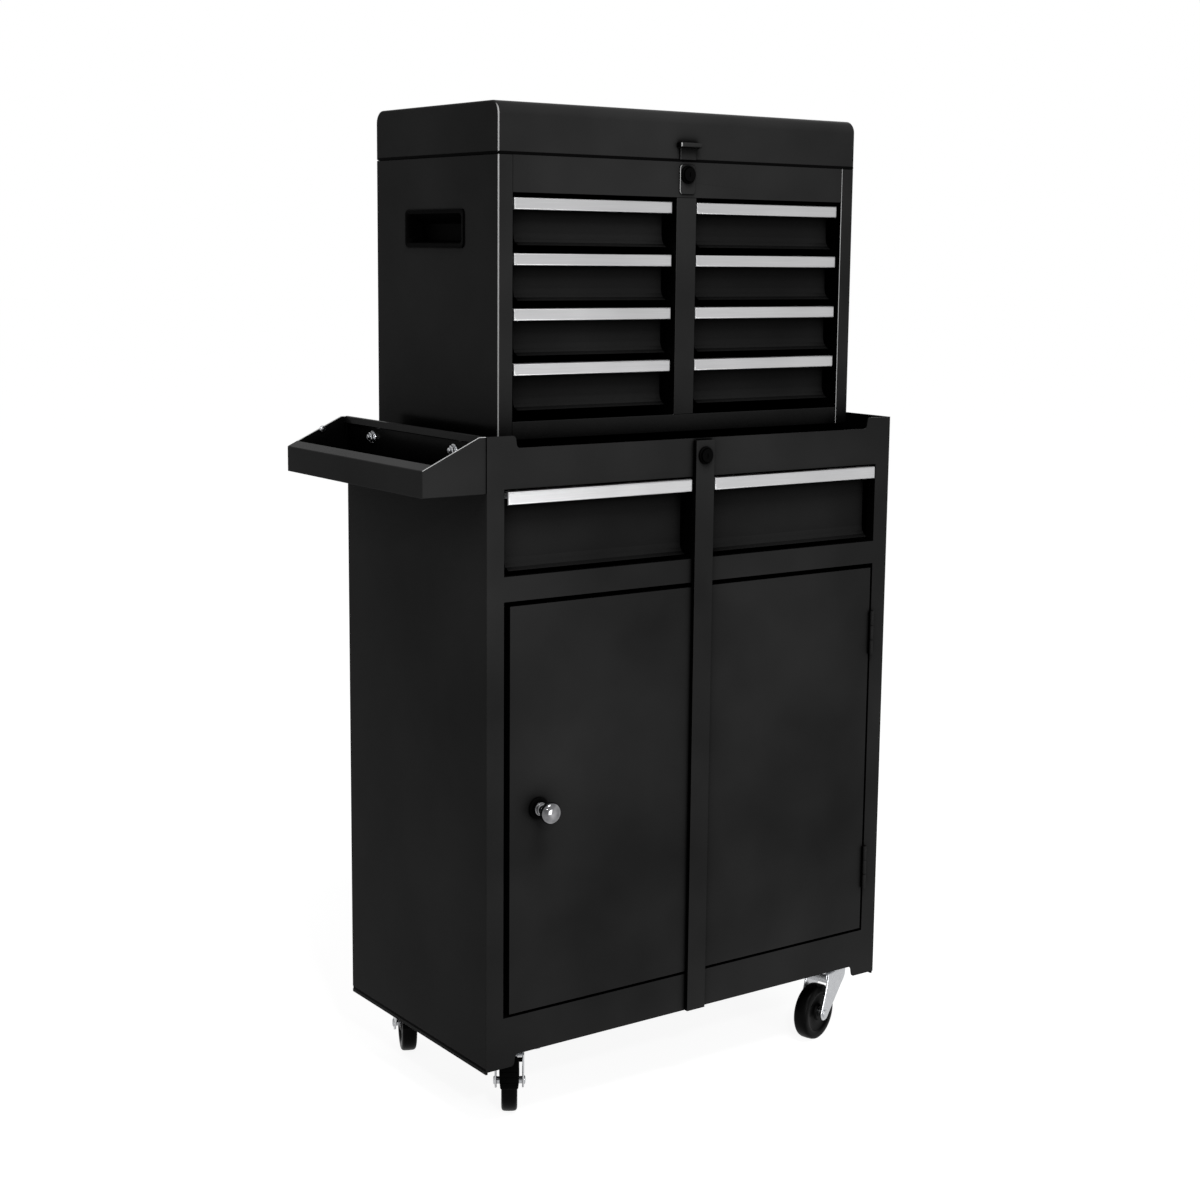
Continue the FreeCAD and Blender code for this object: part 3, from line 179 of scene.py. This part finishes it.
def area_light(name, place, target, size, power):
    data = bpy.data.lights.new(name, "AREA")
    data.shape = "RECTANGLE"
    data.size, data.size_y = size
    data.energy = power
    light = bpy.data.objects.new(name, data)
    bpy.context.scene.collection.objects.link(light)
    light.location = place
    light.rotation_mode = "QUATERNION"
    light.rotation_quaternion = (Vector(target) - Vector(place)).to_track_quat("-Z", "Y")
    light.visible_camera = False


def make_lights():
    middle = (0.03, 0.0, 0.6)
    area_light("key", (-0.95, -1.95, 1.4), middle, (0.12, 0.12), 8)
    area_light("overhead", (-0.25, -1.15, 2.6), middle, (0.9, 0.9), 48)
    area_light("front_fill", (0.15, -1.5, 0.2), (0.03, -0.13, 0.3), (0.5, 0.5), 8)


# Materials

def shader_material(name, color, metallic, roughness):
    material = bpy.data.materials.new(name)
    nodes, links = node_tree(material)
    shader = nodes.new("ShaderNodeBsdfPrincipled")
    shader.inputs["Base Color"].default_value = (*color, 1)
    shader.inputs["Metallic"].default_value = metallic
    shader.inputs["Roughness"].default_value = roughness
    output = nodes.new("ShaderNodeOutputMaterial")
    links.new(shader.outputs[0], output.inputs["Surface"])
    return material, shader


def noise(material, scale, detail=2.0, stretch=(1, 1, 1)):
    """Noise in the object's own metres, finer along the axes with a larger stretch."""
    nodes, links = material.node_tree.nodes, material.node_tree.links
    place = nodes.new("ShaderNodeTexCoord")
    mapping = nodes.new("ShaderNodeMapping")
    mapping.inputs["Scale"].default_value = stretch
    texture = nodes.new("ShaderNodeTexNoise")
    texture.inputs["Scale"].default_value = scale
    texture.inputs["Detail"].default_value = detail
    links.new(place.outputs["Object"], mapping.inputs["Vector"])
    links.new(mapping.outputs["Vector"], texture.inputs["Vector"])
    return texture.outputs["Fac"]


def spread(material, source, low, high):
    """Map a 0 to 1 value to a range."""
    nodes, links = material.node_tree.nodes, material.node_tree.links
    ramp = nodes.new("ShaderNodeMapRange")
    ramp.inputs["From Min"].default_value = 0.3
    ramp.inputs["From Max"].default_value = 0.7
    ramp.inputs["To Min"].default_value = low
    ramp.inputs["To Max"].default_value = high
    links.new(source, ramp.inputs["Value"])
    return ramp.outputs["Result"]


def tint(material, source, dark, light):
    nodes, links = material.node_tree.nodes, material.node_tree.links
    mix = nodes.new("ShaderNodeMix")
    mix.data_type = "RGBA"
    mix.inputs["A"].default_value = (*dark, 1)
    mix.inputs["B"].default_value = (*light, 1)
    links.new(source, mix.inputs["Factor"])
    return mix.outputs["Result"]


def bump(material, shader, source, strength, depth):
    nodes, links = material.node_tree.nodes, material.node_tree.links
    relief = nodes.new("ShaderNodeBump")
    relief.inputs["Strength"].default_value = strength
    relief.inputs["Distance"].default_value = depth
    links.new(source, relief.inputs["Height"])
    links.new(relief.outputs["Normal"], shader.inputs["Normal"])


def link(material, source, shader, name):
    material.node_tree.links.new(source, shader.inputs[name])


def fold_highlight_mask(material, first, second, sign, start):
    """Mask of a painted highlight: 1 in the middle of a fold between two directions, 0 on the flat faces."""
    nodes, links = material.node_tree.nodes, material.node_tree.links
    surface = nodes.new("ShaderNodeNewGeometry")
    parts = nodes.new("ShaderNodeSeparateXYZ")
    links.new(surface.outputs["True Normal"], parts.inputs[0])
    product = nodes.new("ShaderNodeMath")
    product.operation = "MULTIPLY"
    links.new(parts.outputs[first], product.inputs[0])
    links.new(parts.outputs[second], product.inputs[1])
    ramp = nodes.new("ShaderNodeMapRange")
    ramp.inputs["From Min"].default_value = start * sign
    ramp.inputs["From Max"].default_value = FOLD_MIDDLE * sign
    links.new(product.outputs[0], ramp.inputs["Value"])
    return ramp.outputs["Result"]


def painted_shade_mask(material, reach):
    """Mask of painted shade: 1 on open faces, falling to 0 far inside a recess, where the colour is darkened."""
    nodes, links = material.node_tree.nodes, material.node_tree.links
    occlusion = nodes.new("ShaderNodeAmbientOcclusion")
    occlusion.samples = 8
    occlusion.inputs["Distance"].default_value = reach
    ramp = nodes.new("ShaderNodeMapRange")
    ramp.inputs["From Min"].default_value = DARK_BELOW
    ramp.inputs["From Max"].default_value = OPEN_ABOVE
    links.new(occlusion.outputs["AO"], ramp.inputs["Value"])
    return ramp.outputs["Result"]


def powder_coat(name="powder_coat", shade=0.018, roughness=(0.17, 0.25), fold=None, gloss=0.012):
    """Satin black powder coat: orange peel, uneven gloss, painted shade in recesses and, with a fold given, a
    painted highlight on folds.
    """
    material, shader = shader_material(name, (shade, shade, shade), 0.0, roughness[0])
    shader.inputs["Specular IOR Level"].default_value = gloss
    peel = noise(material, 900, 3)
    cloud = noise(material, 5, 3)
    link(material, spread(material, cloud, *roughness), shader, "Roughness")
    coat = tint(material, spread(material, cloud, 0, 1), (shade * 0.6,) * 3, (shade * 1.2,) * 3)
    # Painted shade: the colour darkens to a twenty-fifth of its tone far inside recesses, under parts and between
    # them.
    painted_shading = tint(material, painted_shade_mask(material, PAINT_SHADE_REACH), (shade * 0.04,) * 3, (shade,) * 3)
    material.node_tree.links.new(coat, painted_shading.node.inputs["B"])
    # Painted highlight: the middle of each fold gets a light tone, standing for light caught on the fold.
    if fold:
        fold_highlight = tint(material, fold_highlight_mask(material, *fold), (shade,) * 3, (FOLD_HIGHLIGHT_TONE,) * 3)
        material.node_tree.links.new(painted_shading, fold_highlight.node.inputs["A"])
        painted_shading = fold_highlight
    link(material, painted_shading, shader, "Base Color")
    bump(material, shader, peel, 0.12, 0.00015)
    return material


def aluminium():
    """Satin anodised aluminium, drawn along its length."""
    material, shader = shader_material("anodised_aluminium", (0.58, 0.58, 0.59), 1.0, 0.36)
    grain = noise(material, 60, 3, (0.4, 40, 40))
    cloud = noise(material, 14, 2)
    link(material, tint(material, grain, (0.38, 0.38, 0.385), (0.5, 0.5, 0.505)), shader, "Base Color")
    link(material, spread(material, cloud, 0.32, 0.42), shader, "Roughness")
    bump(material, shader, grain, 0.2, 0.0001)
    shader.inputs["Anisotropic"].default_value = 0.4
    return material


def chrome():
    """Polished chrome, a little clouded and smeared."""
    material, shader = shader_material("chrome", (0.33, 0.33, 0.34), 1.0, 0.06)
    smear = noise(material, 120, 3)
    cloud = noise(material, 70, 2)
    link(material, spread(material, smear, 0.04, 0.12), shader, "Roughness")
    clouded = tint(material, spread(material, cloud, 0, 1), (0.07, 0.07, 0.074), (0.3, 0.3, 0.308))
    link(material, clouded, shader, "Base Color")
    return material


def zinc():
    """Zinc plating with its faint crystal bloom."""
    material, shader = shader_material("zinc_plate", (0.6, 0.61, 0.62), 1.0, 0.26)
    bloom = noise(material, 260, 4)
    link(material, tint(material, bloom, (0.33, 0.335, 0.35), (0.5, 0.51, 0.52)), shader, "Base Color")
    link(material, spread(material, bloom, 0.18, 0.36), shader, "Roughness")
    bump(material, shader, bloom, 0.1, 0.0001)
    return material


def plastic(name="black_plastic", shade=0.002, roughness=(0.4, 0.52), gloss=0.01):
    """Moulded plastic or rubber with a fine spark-eroded grain, and shade painted into its recesses."""
    material, shader = shader_material(name, (shade, shade, shade), 0.0, roughness[0])
    shader.inputs["Specular IOR Level"].default_value = gloss
    grain = noise(material, 1600, 2)
    cloud = noise(material, 30, 2)
    link(material, spread(material, cloud, *roughness), shader, "Roughness")
    # Painted shade: the colour darkens to a tenth of its tone far inside recesses.
    painted_shading = tint(material, painted_shade_mask(material, PLASTIC_SHADE_REACH), (shade * 0.1,) * 3, (shade,) * 3)
    link(material, painted_shading, shader, "Base Color")
    bump(material, shader, grain, 0.2, 0.0001)
    return material


def dress(name, material, bevel, fold_highlight=False):
    """Give a CAD node its finish, and soften its edges by a bevel, or by a plain facet where the finish paints a
    highlight on the fold.
    """
    node = NODES[name]
    node.data.materials.clear()
    node.data.materials.append(material)
    weld = node.modifiers.new("weld", "WELD")
    weld.merge_threshold = 0.01 * MM
    soften = node.modifiers.new("fold", "BEVEL")
    soften.width = bevel
    soften.segments = 1 if fold_highlight else 3
    soften.use_clamp_overlap = not fold_highlight
    soften.limit_method = "ANGLE"
    soften.angle_limit = HIGHLIGHT_FACET_ANGLE if fold_highlight else BEVEL_ANGLE
    soften.harden_normals = False


# Mesh building

def loft(work, rings, closed=False):
    """Skin rings of points in turn. The end rings are capped, unless the rings close on themselves."""
    loops = [[work.verts.new(point) for point in ring] for ring in rings]
    pairs = list(zip(loops, loops[1:]))
    if closed:
        pairs.append((loops[-1], loops[0]))
    for low, high in pairs:
        for number in range(len(low)):
            after = (number + 1) % len(low)
            work.faces.new((low[number], low[after], high[after], high[number]))
    if not closed:
        work.faces.new(loops[0])
        work.faces.new(loops[-1])


def turned(work, axes, profile, count=48, closed=False):
    """Turn a profile of radius and height, in millimetres, about the Z axis of a local frame."""
    angles = [2 * math.pi * number / count for number in range(count)]
    rings = []
    for radius, height in profile:
        points = [Vector((radius * math.cos(a), radius * math.sin(a), height)) * MM for a in angles]
        rings.append([axes @ point for point in points])
    loft(work, rings, closed)


def inset(points, distance):
    """Corners of an anticlockwise outline, moved inwards."""
    moved = []
    for number, point in enumerate(points):
        here = Vector(point)
        along = (here - Vector(points[number - 1])).normalized()
        onward = (Vector(points[(number + 1) % len(points)]) - here).normalized()
        side = Vector((-along.y, along.x))
        inward = (side + Vector((-onward.y, onward.x))).normalized()
        moved.append(here + inward * (distance / max(inward.dot(side), 0.3)))
    return moved


def slab(work, axes, points, low, high, soft):
    """Plate with softened edges: an outline in the local XY plane between two local heights."""
    small = inset(points, soft)
    levels = ((small, low), (points, low + soft), (points, high - soft), (small, high))
    loft(work, [[axes @ (Vector((p[0], p[1], z)) * MM) for p in ring] for ring, z in levels])


def rounded_box(half_x, half_y, radius, steps=6):
    """Anticlockwise outline of a rectangle with rounded corners."""
    points = []
    for quarter, (x, y) in enumerate(((1, 1), (-1, 1), (-1, -1), (1, -1))):
        for step in range(steps + 1):
            angle = math.radians(90 * (quarter + step / steps))
            points.append((x * (half_x - radius) + radius * math.cos(angle),
                           y * (half_y - radius) + radius * math.sin(angle)))
    return points


def local_frame(place, x_axis, z_axis):
    z = Vector(z_axis).normalized()
    x = Vector(x_axis).normalized()
    return Matrix.Translation(Vector(place)) @ Matrix((x, z.cross(x), z)).transposed().to_4x4()


def add_piece(name, work, material, body, replaced=()):
    """Make an object of a mesh, and tie it to the body that it moves with."""
    mesh = bpy.data.meshes.new(name)
    bmesh.ops.recalc_face_normals(work, faces=work.faces)
    work.to_mesh(mesh)
    work.free()
    for face in mesh.polygons:
        face.use_smooth = True
    mesh.set_sharp_from_angle(angle=SHARP_ANGLE)
    mesh.materials.append(material)
    piece = bpy.data.objects.new(name, mesh)
    bpy.context.scene.collection.objects.link(piece)
    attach(piece, body)
    if replaced:
        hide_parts(*replaced)


# Fittings

# Profiles of radius and height about each fitting's axis
HEX = 6
NUT = ((0.6, 0.9), (5.2, 0.9), (5.2, 3.9), (4.5, 4.5), (2.9, 4.5))
WASHER = ((0.6, 0.0), (6.6, 0.0), (6.8, 0.3), (6.6, 0.8), (0.6, 0.9))
STUD = ((2.8, 4.4), (2.8, 6.2), (2.2, 6.8), (0.6, 6.9))
SCREW = ((3.8, 0), (3.8, 0.6), (3.2, 1.6), (2.0, 2.2), (0.5, 2.4))
KNOB = ((6.1, 0.0), (6.1, 2.4), (6.8, 2.9), (7.1, 3.8), (6.8, 4.7), (5.8, 5.2), (6.0, 5.7), (6.2, 6.5),
        (5.9, 7.3), (4.8, 8.0), (4.3, 11.0), (4.7, 14.4), (6.7, 16.0), (9.2, 17.4), (10.8, 19.2),
        (11.5, 21.2), (11.5, 23.0), (11.1, 24.8), (10.0, 26.4), (8.2, 27.6), (5.6, 28.3), (3.0, 28.65),
        (0.6, 28.7))
KNOB_ROSE = ((5.8, 0.0), (11.2, 0.0), (11.4, 0.4), (11.3, 1.2), (10.6, 1.8), (8.6, 2.2), (7.0, 2.4),
             (5.8, 2.4))
COLLAR = ((7.2, 0.0), (9.2, 0.0), (9.2, 0.9), (8.8, 1.8), (8.1, 2.3), (7.5, 2.3), (7.2, 2.0))
# Section of the hem on the tray's wall, and its distance from the ends
HEM = ((-2.6, -7.5), (-3.2, -6.6), (-1.2, -0.3), (0, 0), (0, -7.5))
HEM_END = 2
# Sheet of the tray, and the bolts' centres from the ends of their group
TRAY_SHEET = 1.2 * MM
BOLT_INSET = 5 * MM
# Place of the screw at the tray's back end
TRAY_SCREW = Vector((-0.2597, 0.1568, 0.7079))


def tray_nuts():
    """Washer, hexagon nut and stud end where the tray is bolted through the cabinet's side."""
    low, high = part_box("tray_bolts")
    tray_low, tray_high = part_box("side_tray")
    work = bmesh.new()
    height = (low.z + high.z) / 2
    for y in (low.y + BOLT_INSET, high.y - BOLT_INSET):
        axes = local_frame((high.x, y, height), (0, 1, 0.35), (-1, 0, 0))
        turned(work, axes, WASHER)
        turned(work, axes, NUT, HEX)
        turned(work, axes, STUD)
    add_piece("tray_nuts", work, ZINC, "cabinet", ("tray_bolts",))
    work = bmesh.new()
    screw = local_frame(TRAY_SCREW, (1, 0, 0), (0, -1, 0))
    turned(work, screw, SCREW)
    add_piece("tray_end_screw", work, ZINC, "cabinet")
    work = bmesh.new()
    start = (tray_high.x - TRAY_SHEET, tray_low.y + HEM_END * MM, tray_high.z)
    length = (tray_high.y - tray_low.y) / MM - 2 * HEM_END
    slab(work, local_frame(start, (1, 0, 0), (0, -1, 0)), HEM, -length, 0, 0.3)
    add_piece("tray_hem", work, PAINT, "cabinet")


def knob():
    """Chromed door knob, a waisted neck with two beads and a domed head, on a black rose."""
    low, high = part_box("door_knob")
    work = bmesh.new()
    axes = local_frame(((low.x + high.x) / 2, high.y, (low.z + high.z) / 2), (1, 0, 0), (0, -1, 0))
    turned(work, axes, KNOB, 64)
    add_piece("knob", work, CHROME, "door", ("door_knob",))
    work = bmesh.new()
    turned(work, axes, KNOB_ROSE, 64, True)
    add_piece("knob_rose", work, PLASTIC, "door")


def lock_bezels():
    """Black collars round the two lock barrels."""
    carriers = (("chest_lock", "chest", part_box("chest_lock_plate")[0].y),
                ("bar_lock", "door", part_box("lock_bar")[0].y))
    for name, body, face in carriers:
        place = Vector(JOINTS[f"{name}_turn"]["pos_m"])
        work = bmesh.new()
        turned(work, local_frame((place.x, face, place.z), (1, 0, 0), (0, -1, 0)), COLLAR, 48, True)
        add_piece(f"{name}_collar", work, CUP, body)


# Rings of a moulded hand recess, from its back round the rim to its floor:
# half length, half height, corner, depth behind the wall and drop of the middle
RECESS = ((50, 8.5, 6, 17, -3.5), (53, 11, 6, 16, -2.5), (54.9, 15.4, 4, 0, 0), (59, 19.5, 5, 0, 0),
          (59, 19.5, 5, -1, 0), (58.3, 18.8, 4.5, -1.5, 0), (55.6, 16.1, 4, -1.5, 0),
          (54.6, 15.1, 4.2, -0.9, 0),
          (53.6, 14.0, 5, 1.5, 0), (52.4, 10.2, 6, 13, -2.6), (51.2, 8.4, 6, 15, -3.5))


def hand_recesses():
    """Moulded hand recesses in the chest's two sides."""
    low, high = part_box("carry_handles")
    wall_low, wall_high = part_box("chest_wrap")
    middle = (low + high) / 2
    work = bmesh.new()
    for wall, facing in ((wall_low.x, -1), (wall_high.x, 1)):
        axes = local_frame((wall, middle.y, middle.z), (0, 1, 0), (facing, 0, 0))
        up = 1 if (axes.to_3x3() @ Vector((0, 1, 0))).z > 0 else -1
        rings = []
        for half_x, half_y, corner, depth, drop in RECESS:
            points = rounded_box(half_x, half_y, corner)
            rings.append([axes @ (Vector((x, y + up * drop, -depth)) * MM) for x, y in points])
        loft(work, rings)
    add_piece("hand_recesses", work, CUP, "chest", ("carry_handles",))


# A strip stops short of the lid's hinge
STRIP_END = 4 * MM


def seam_shade_strip(name, node, body, facing, corner, heights, depths):
    """Black strip round three sides of a sheet wrap, open at its front or back: painted shade standing for the
    shadow in a seam.

    Heights are above the wrap's low edge, and depths outwards from its faces.
    """
    low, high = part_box(node)
    far = high.y - STRIP_END if facing < 0 else low.y

    def path(grow):
        left, right = low.x - grow * MM, high.x + grow * MM
        near = (low.y if facing < 0 else high.y) + facing * grow * MM
        radius = (corner + grow) * MM
        points = [(left, far)]
        for centre, start in ((left + radius, 180), (right - radius, 270)):
            for step in range(7):
                angle = math.radians(start + 15 * step)
                points.append((centre + radius * math.cos(angle),
                               near - facing * radius * (1 + math.sin(angle))))
        return points + [(right, far)]

    work = bmesh.new()
    bottom, top = (low.z + height * MM for height in heights)
    rings = []
    for outer, inner in zip(path(depths[0]), path(depths[1])):
        section = ((*outer, bottom), (*outer, top), (*inner, top), (*inner, bottom))
        rings.append([Vector(point) for point in section])
    loft(work, rings)
    add_piece(name, work, CUP, body)


# Casters, in each caster's own frame: the swivel's axis is Z, and the wheel trails along X

TRAIL = 27
AXLE = 32
FORK_IN = 13.5
FORK_OUT = 15.5
CROWN = (75.7, 78.2)
# The plate's underside above the top of the fork, and the places of its bolts
PLATE_GAP = 3.5 * MM
BOLT_PLACES = [(x, y) for x in (-22, 22) for y in (-18, 18)]
BOLT_HEAD = ((4.4, 0), (4.4, 1.6), (3.7, 2.1), (0.6, 2.1))
BEARING = ((14.4, 78.0), (17.2, 78.0), (17.6, 78.8), (17.2, 80.0), (16.2, 80.9), (14.4, 81.0))
AXLE_HEAD = ((4.6, FORK_OUT - 0.1), (4.6, 16.0), (4.0, 16.7), (2.4, 17.1), (0.6, 17.2))
APRON = ((20.6, 67.5), (22.4, 67), (22, 74.2), (20.2, 77.4), (18.2, 78), (18.2, 76), (20, 73.6))
# Half of a wheel's section, from its bore to the middle of its tread
WHEEL_HALF = ((4.1, 8.5), (8.2, 8.5), (9.0, 7.9), (9.8, 6.6), (11.0, 6.1), (20.0, 6.1), (21.4, 6.6),
              (22.2, 7.8), (23.2, 8.4), (25.4, 8.5), (28.2, 8.4), (30.0, 7.9), (31.2, 6.8), (31.8, 4.8),
              (32.0, 0.0))
QUARTER_TURN = Matrix.Rotation(math.radians(90), 4, "X")
HALF_TURN = Matrix.Rotation(math.radians(180), 4, "X")


def caster_frame(corner):
    swivel = Vector(JOINTS[f"caster_{corner}_swivel"]["pos_m"])
    axle = Vector(JOINTS[f"wheel_{corner}_spin"]["pos_m"])
    trail = Vector((axle.x - swivel.x, axle.y - swivel.y, 0))
    return local_frame((swivel.x, swivel.y, 0), trail, (0, 0, 1))


def fork_outline():
    """Side of a fork leg: broad under the crown, and tapering to a round end about the axle."""
    eye = 8
    points = [(20.3, CROWN[1] - 0.6), (-17, CROWN[1] - 0.6), (-17, 71), (-15.8, 66.6),
              (-12.8, 62.4), (-7, 57)]
    for degrees in range(-127, 21, 12):
        angle = math.radians(degrees)
        points.append((TRAIL + eye * math.cos(angle), AXLE + eye * math.sin(angle)))
    return points + [(27.5, 52), (23.4, 64), (21.2, 72)]


def caster(corner):
    """Fork with its bearing and axle, wheel, and bolts of the top plate."""
    axes = caster_frame(corner)
    side = axes @ QUARTER_TURN
    axle = axes @ Matrix.Translation(Vector((TRAIL, 0, AXLE)) * MM) @ QUARTER_TURN
    work = bmesh.new()
    outline = fork_outline()
    slab(work, side, outline, FORK_IN, FORK_OUT, 0.5)
    slab(work, side, outline, -FORK_OUT, -FORK_IN, 0.5)
    crown = axes @ Matrix.Translation(Vector((1.6, 0, 0)) * MM)
    slab(work, crown, rounded_box(18.6, FORK_OUT, 4), *CROWN, 0.9)
    slab(work, side, APRON, -FORK_IN, FORK_IN, 0.3)
    turned(work, axes, BEARING, 48, True)
    turned(work, axle, ((3.95, -FORK_OUT), (3.95, FORK_OUT)), 24)
    for head in (axle, axle @ HALF_TURN):
        turned(work, head, AXLE_HEAD, 32)
    add_piece(f"fork_{corner}", work, ZINC, f"caster_{corner}", (f"caster_fork_{corner}",))

    rim = list(WHEEL_HALF) + [(radius, -height) for radius, height in reversed(WHEEL_HALF[:-1])]
    work = bmesh.new()
    turned(work, axle, rim, 72, True)
    node = f"caster_wheel_{corner}"
    add_piece(f"wheel_{corner}", work, WHEEL, f"wheel_{corner}", (node,))

    work = bmesh.new()
    centre = JOINTS[f"caster_{corner}_swivel"]["pos_m"]
    plate = Matrix.Translation(Vector((centre[0], centre[1], PLATE_LOW)))
    for x, y in BOLT_PLACES:
        spot = Matrix.Translation(Vector((x, y, 0)) * MM)
        turned(work, plate @ spot @ HALF_TURN, BOLT_HEAD, HEX)
    add_piece(f"caster_bolts_{corner}", work, ZINC, "cabinet")


def brake(corner):
    """Moulded brake pedal, tapering downwards, on its pin."""
    axes = caster_frame(corner)
    side = axes @ QUARTER_TURN
    work = bmesh.new()
    rings = []
    for height, half_width, front, back, corner_round in (
            (75.2, 9.2, -21.4, -18.9, 1.0), (74.6, 10.2, -21.9, -18.6, 1.4), (60, 10.5, -22, -18.5, 1.6),
            (50, 10.1, -22, -18.5, 1.6), (43, 9.4, -21.8, -18.7, 1.5), (42.1, 8.6, -21.2, -19.2, 0.9)):
        half_depth = (back - front) / 2
        outline = rounded_box(half_depth, half_width, min(corner_round, half_depth - 0.05), 4)
        rings.append([axes @ (Vector((x + (front + back) / 2, y, height)) * MM) for x, y in outline])
    loft(work, rings)
    arm = [(-21, 68.9), (-13.4, 68.8), (-11.6, 69.9), (-10.7, 71.2), (-11.6, 72.6),
           (-13.4, 73.6), (-21, 73.5)]
    slab(work, side, arm, -6.5, 6.5, 0.5)
    pin = axes @ Matrix.Translation(Vector((-13, 0, 71.2)) * MM) @ QUARTER_TURN
    turned(work, pin, ((2.0, -15.4), (2.45, -15.0), (2.45, 15.0), (2.0, 15.4)), 24)
    for height in (48, 54, 60):
        rib = [(-22.5, height - 0.9), (-21.6, height - 1.4), (-21.6, height + 1.4), (-22.5, height + 0.9)]
        slab(work, side, list(reversed(rib)), -7.5, 7.5, 0.2)
    add_piece(f"pedal_{corner}", work, PLASTIC, f"brake_{corner}",
              (f"brake_pedal_{corner}",))


make_camera()
make_world()
make_floor()
make_lights()

PAINT = powder_coat()
# Darker copy of the paint for the drawers: painted shade for their faces set back under the pulls
DRAWER_SHADED_PAINT = powder_coat("powder_coat_drawer", 0.014)
# Near-black copy of the paint for the deck: painted shade in the gap between chest and cabinet
DECK_SHADED_PAINT = powder_coat("powder_coat_deck_shaded", 0.002, gloss=0.0)
# Paints with a highlight painted on folds: upright folds, the same from a lower start, and on the tray folds
# between its ends and its tops
FOLD_HIGHLIGHT_PAINT = powder_coat("powder_coat_fold_highlight", fold=("X", "Y", 1, 0.28))
EDGE_HIGHLIGHT_PAINT = powder_coat("powder_coat_edge_highlight", fold=("X", "Y", 1, 0.08))
TRAY_HIGHLIGHT_PAINT = powder_coat("powder_coat_tray_highlight", fold=("Y", "Z", -1, 0.08))
ALUMINIUM = aluminium()
CHROME = chrome()
ZINC = zinc()
PLASTIC = plastic()
RUBBER = plastic("rubber", 0.002, (0.6, 0.75), 0.005)
WHEEL = plastic("wheel_plastic", 0.002, (0.3, 0.42), 0.03)
CUP = plastic("cup_plastic", 0.002, (0.42, 0.5), 0.004)

FINISH = {"black_paint": PAINT, "aluminium_pull": ALUMINIUM, "zinc": ZINC, "chrome": CHROME,
          "black_plastic": PLASTIC, "rubber": RUBBER}
# Nodes with their own finish: the finish, the bevel of cut edges, and whether it is a plain facet that carries the
# painted fold highlight
OWN_FINISH = {"chest_wrap": (FOLD_HIGHLIGHT_PAINT, 0.4 * MM, True), "lid_shell": (FOLD_HIGHLIGHT_PAINT, EDGE_BEVEL),
              "chest_centre_divider": (EDGE_HIGHLIGHT_PAINT, HIGHLIGHT_FACET, True),
              "chest_lock_plate": (EDGE_HIGHLIGHT_PAINT, HIGHLIGHT_FACET, True),
              "lid_pull": (EDGE_HIGHLIGHT_PAINT, HIGHLIGHT_FACET, True),
              "side_tray": (TRAY_HIGHLIGHT_PAINT, 0.55 * MM, True), "cabinet_deck": (DECK_SHADED_PAINT, EDGE_BEVEL),
              "chest_lock_cylinder": (CUP, EDGE_BEVEL), "bar_lock_cylinder": (CUP, EDGE_BEVEL)}
for row in frame["record"]["subparts"]:
    node = row["node"]
    finish = FINISH[row["material_slot"]]
    # The drawers take the darker copy of the paint, painted shade for faces set back under the pulls
    if node.endswith("_tray") and "_drawer_" in node:
        finish = DRAWER_SHADED_PAINT
    plain = (finish, PULL_BEVEL if finish is ALUMINIUM else EDGE_BEVEL)
    dress(node, *OWN_FINISH.get(node, plain))
PLATE_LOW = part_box("caster_fork_front_left")[1].z + PLATE_GAP

tray_nuts()
knob()
lock_bezels()
hand_recesses()
# Painted shade: black strips stand for the shadow in the seam under the lid and the seam above the cabinet's base
# pan
seam_shade_strip("lid_seam_shade", "lid_shell", "lid", -1, 2, (-0.85, 1.8), (0.15, -0.5))
seam_shade_strip("base_seam_shade", "cabinet_wrap", "cabinet", 1, 1.5, (-2.4, 0.2), (-0.05, -0.9))
for corner in CORNERS:
    caster(corner)
for corner in BRAKED:
    brake(corner)

bpy.context.scene.view_settings.view_transform = "Standard"
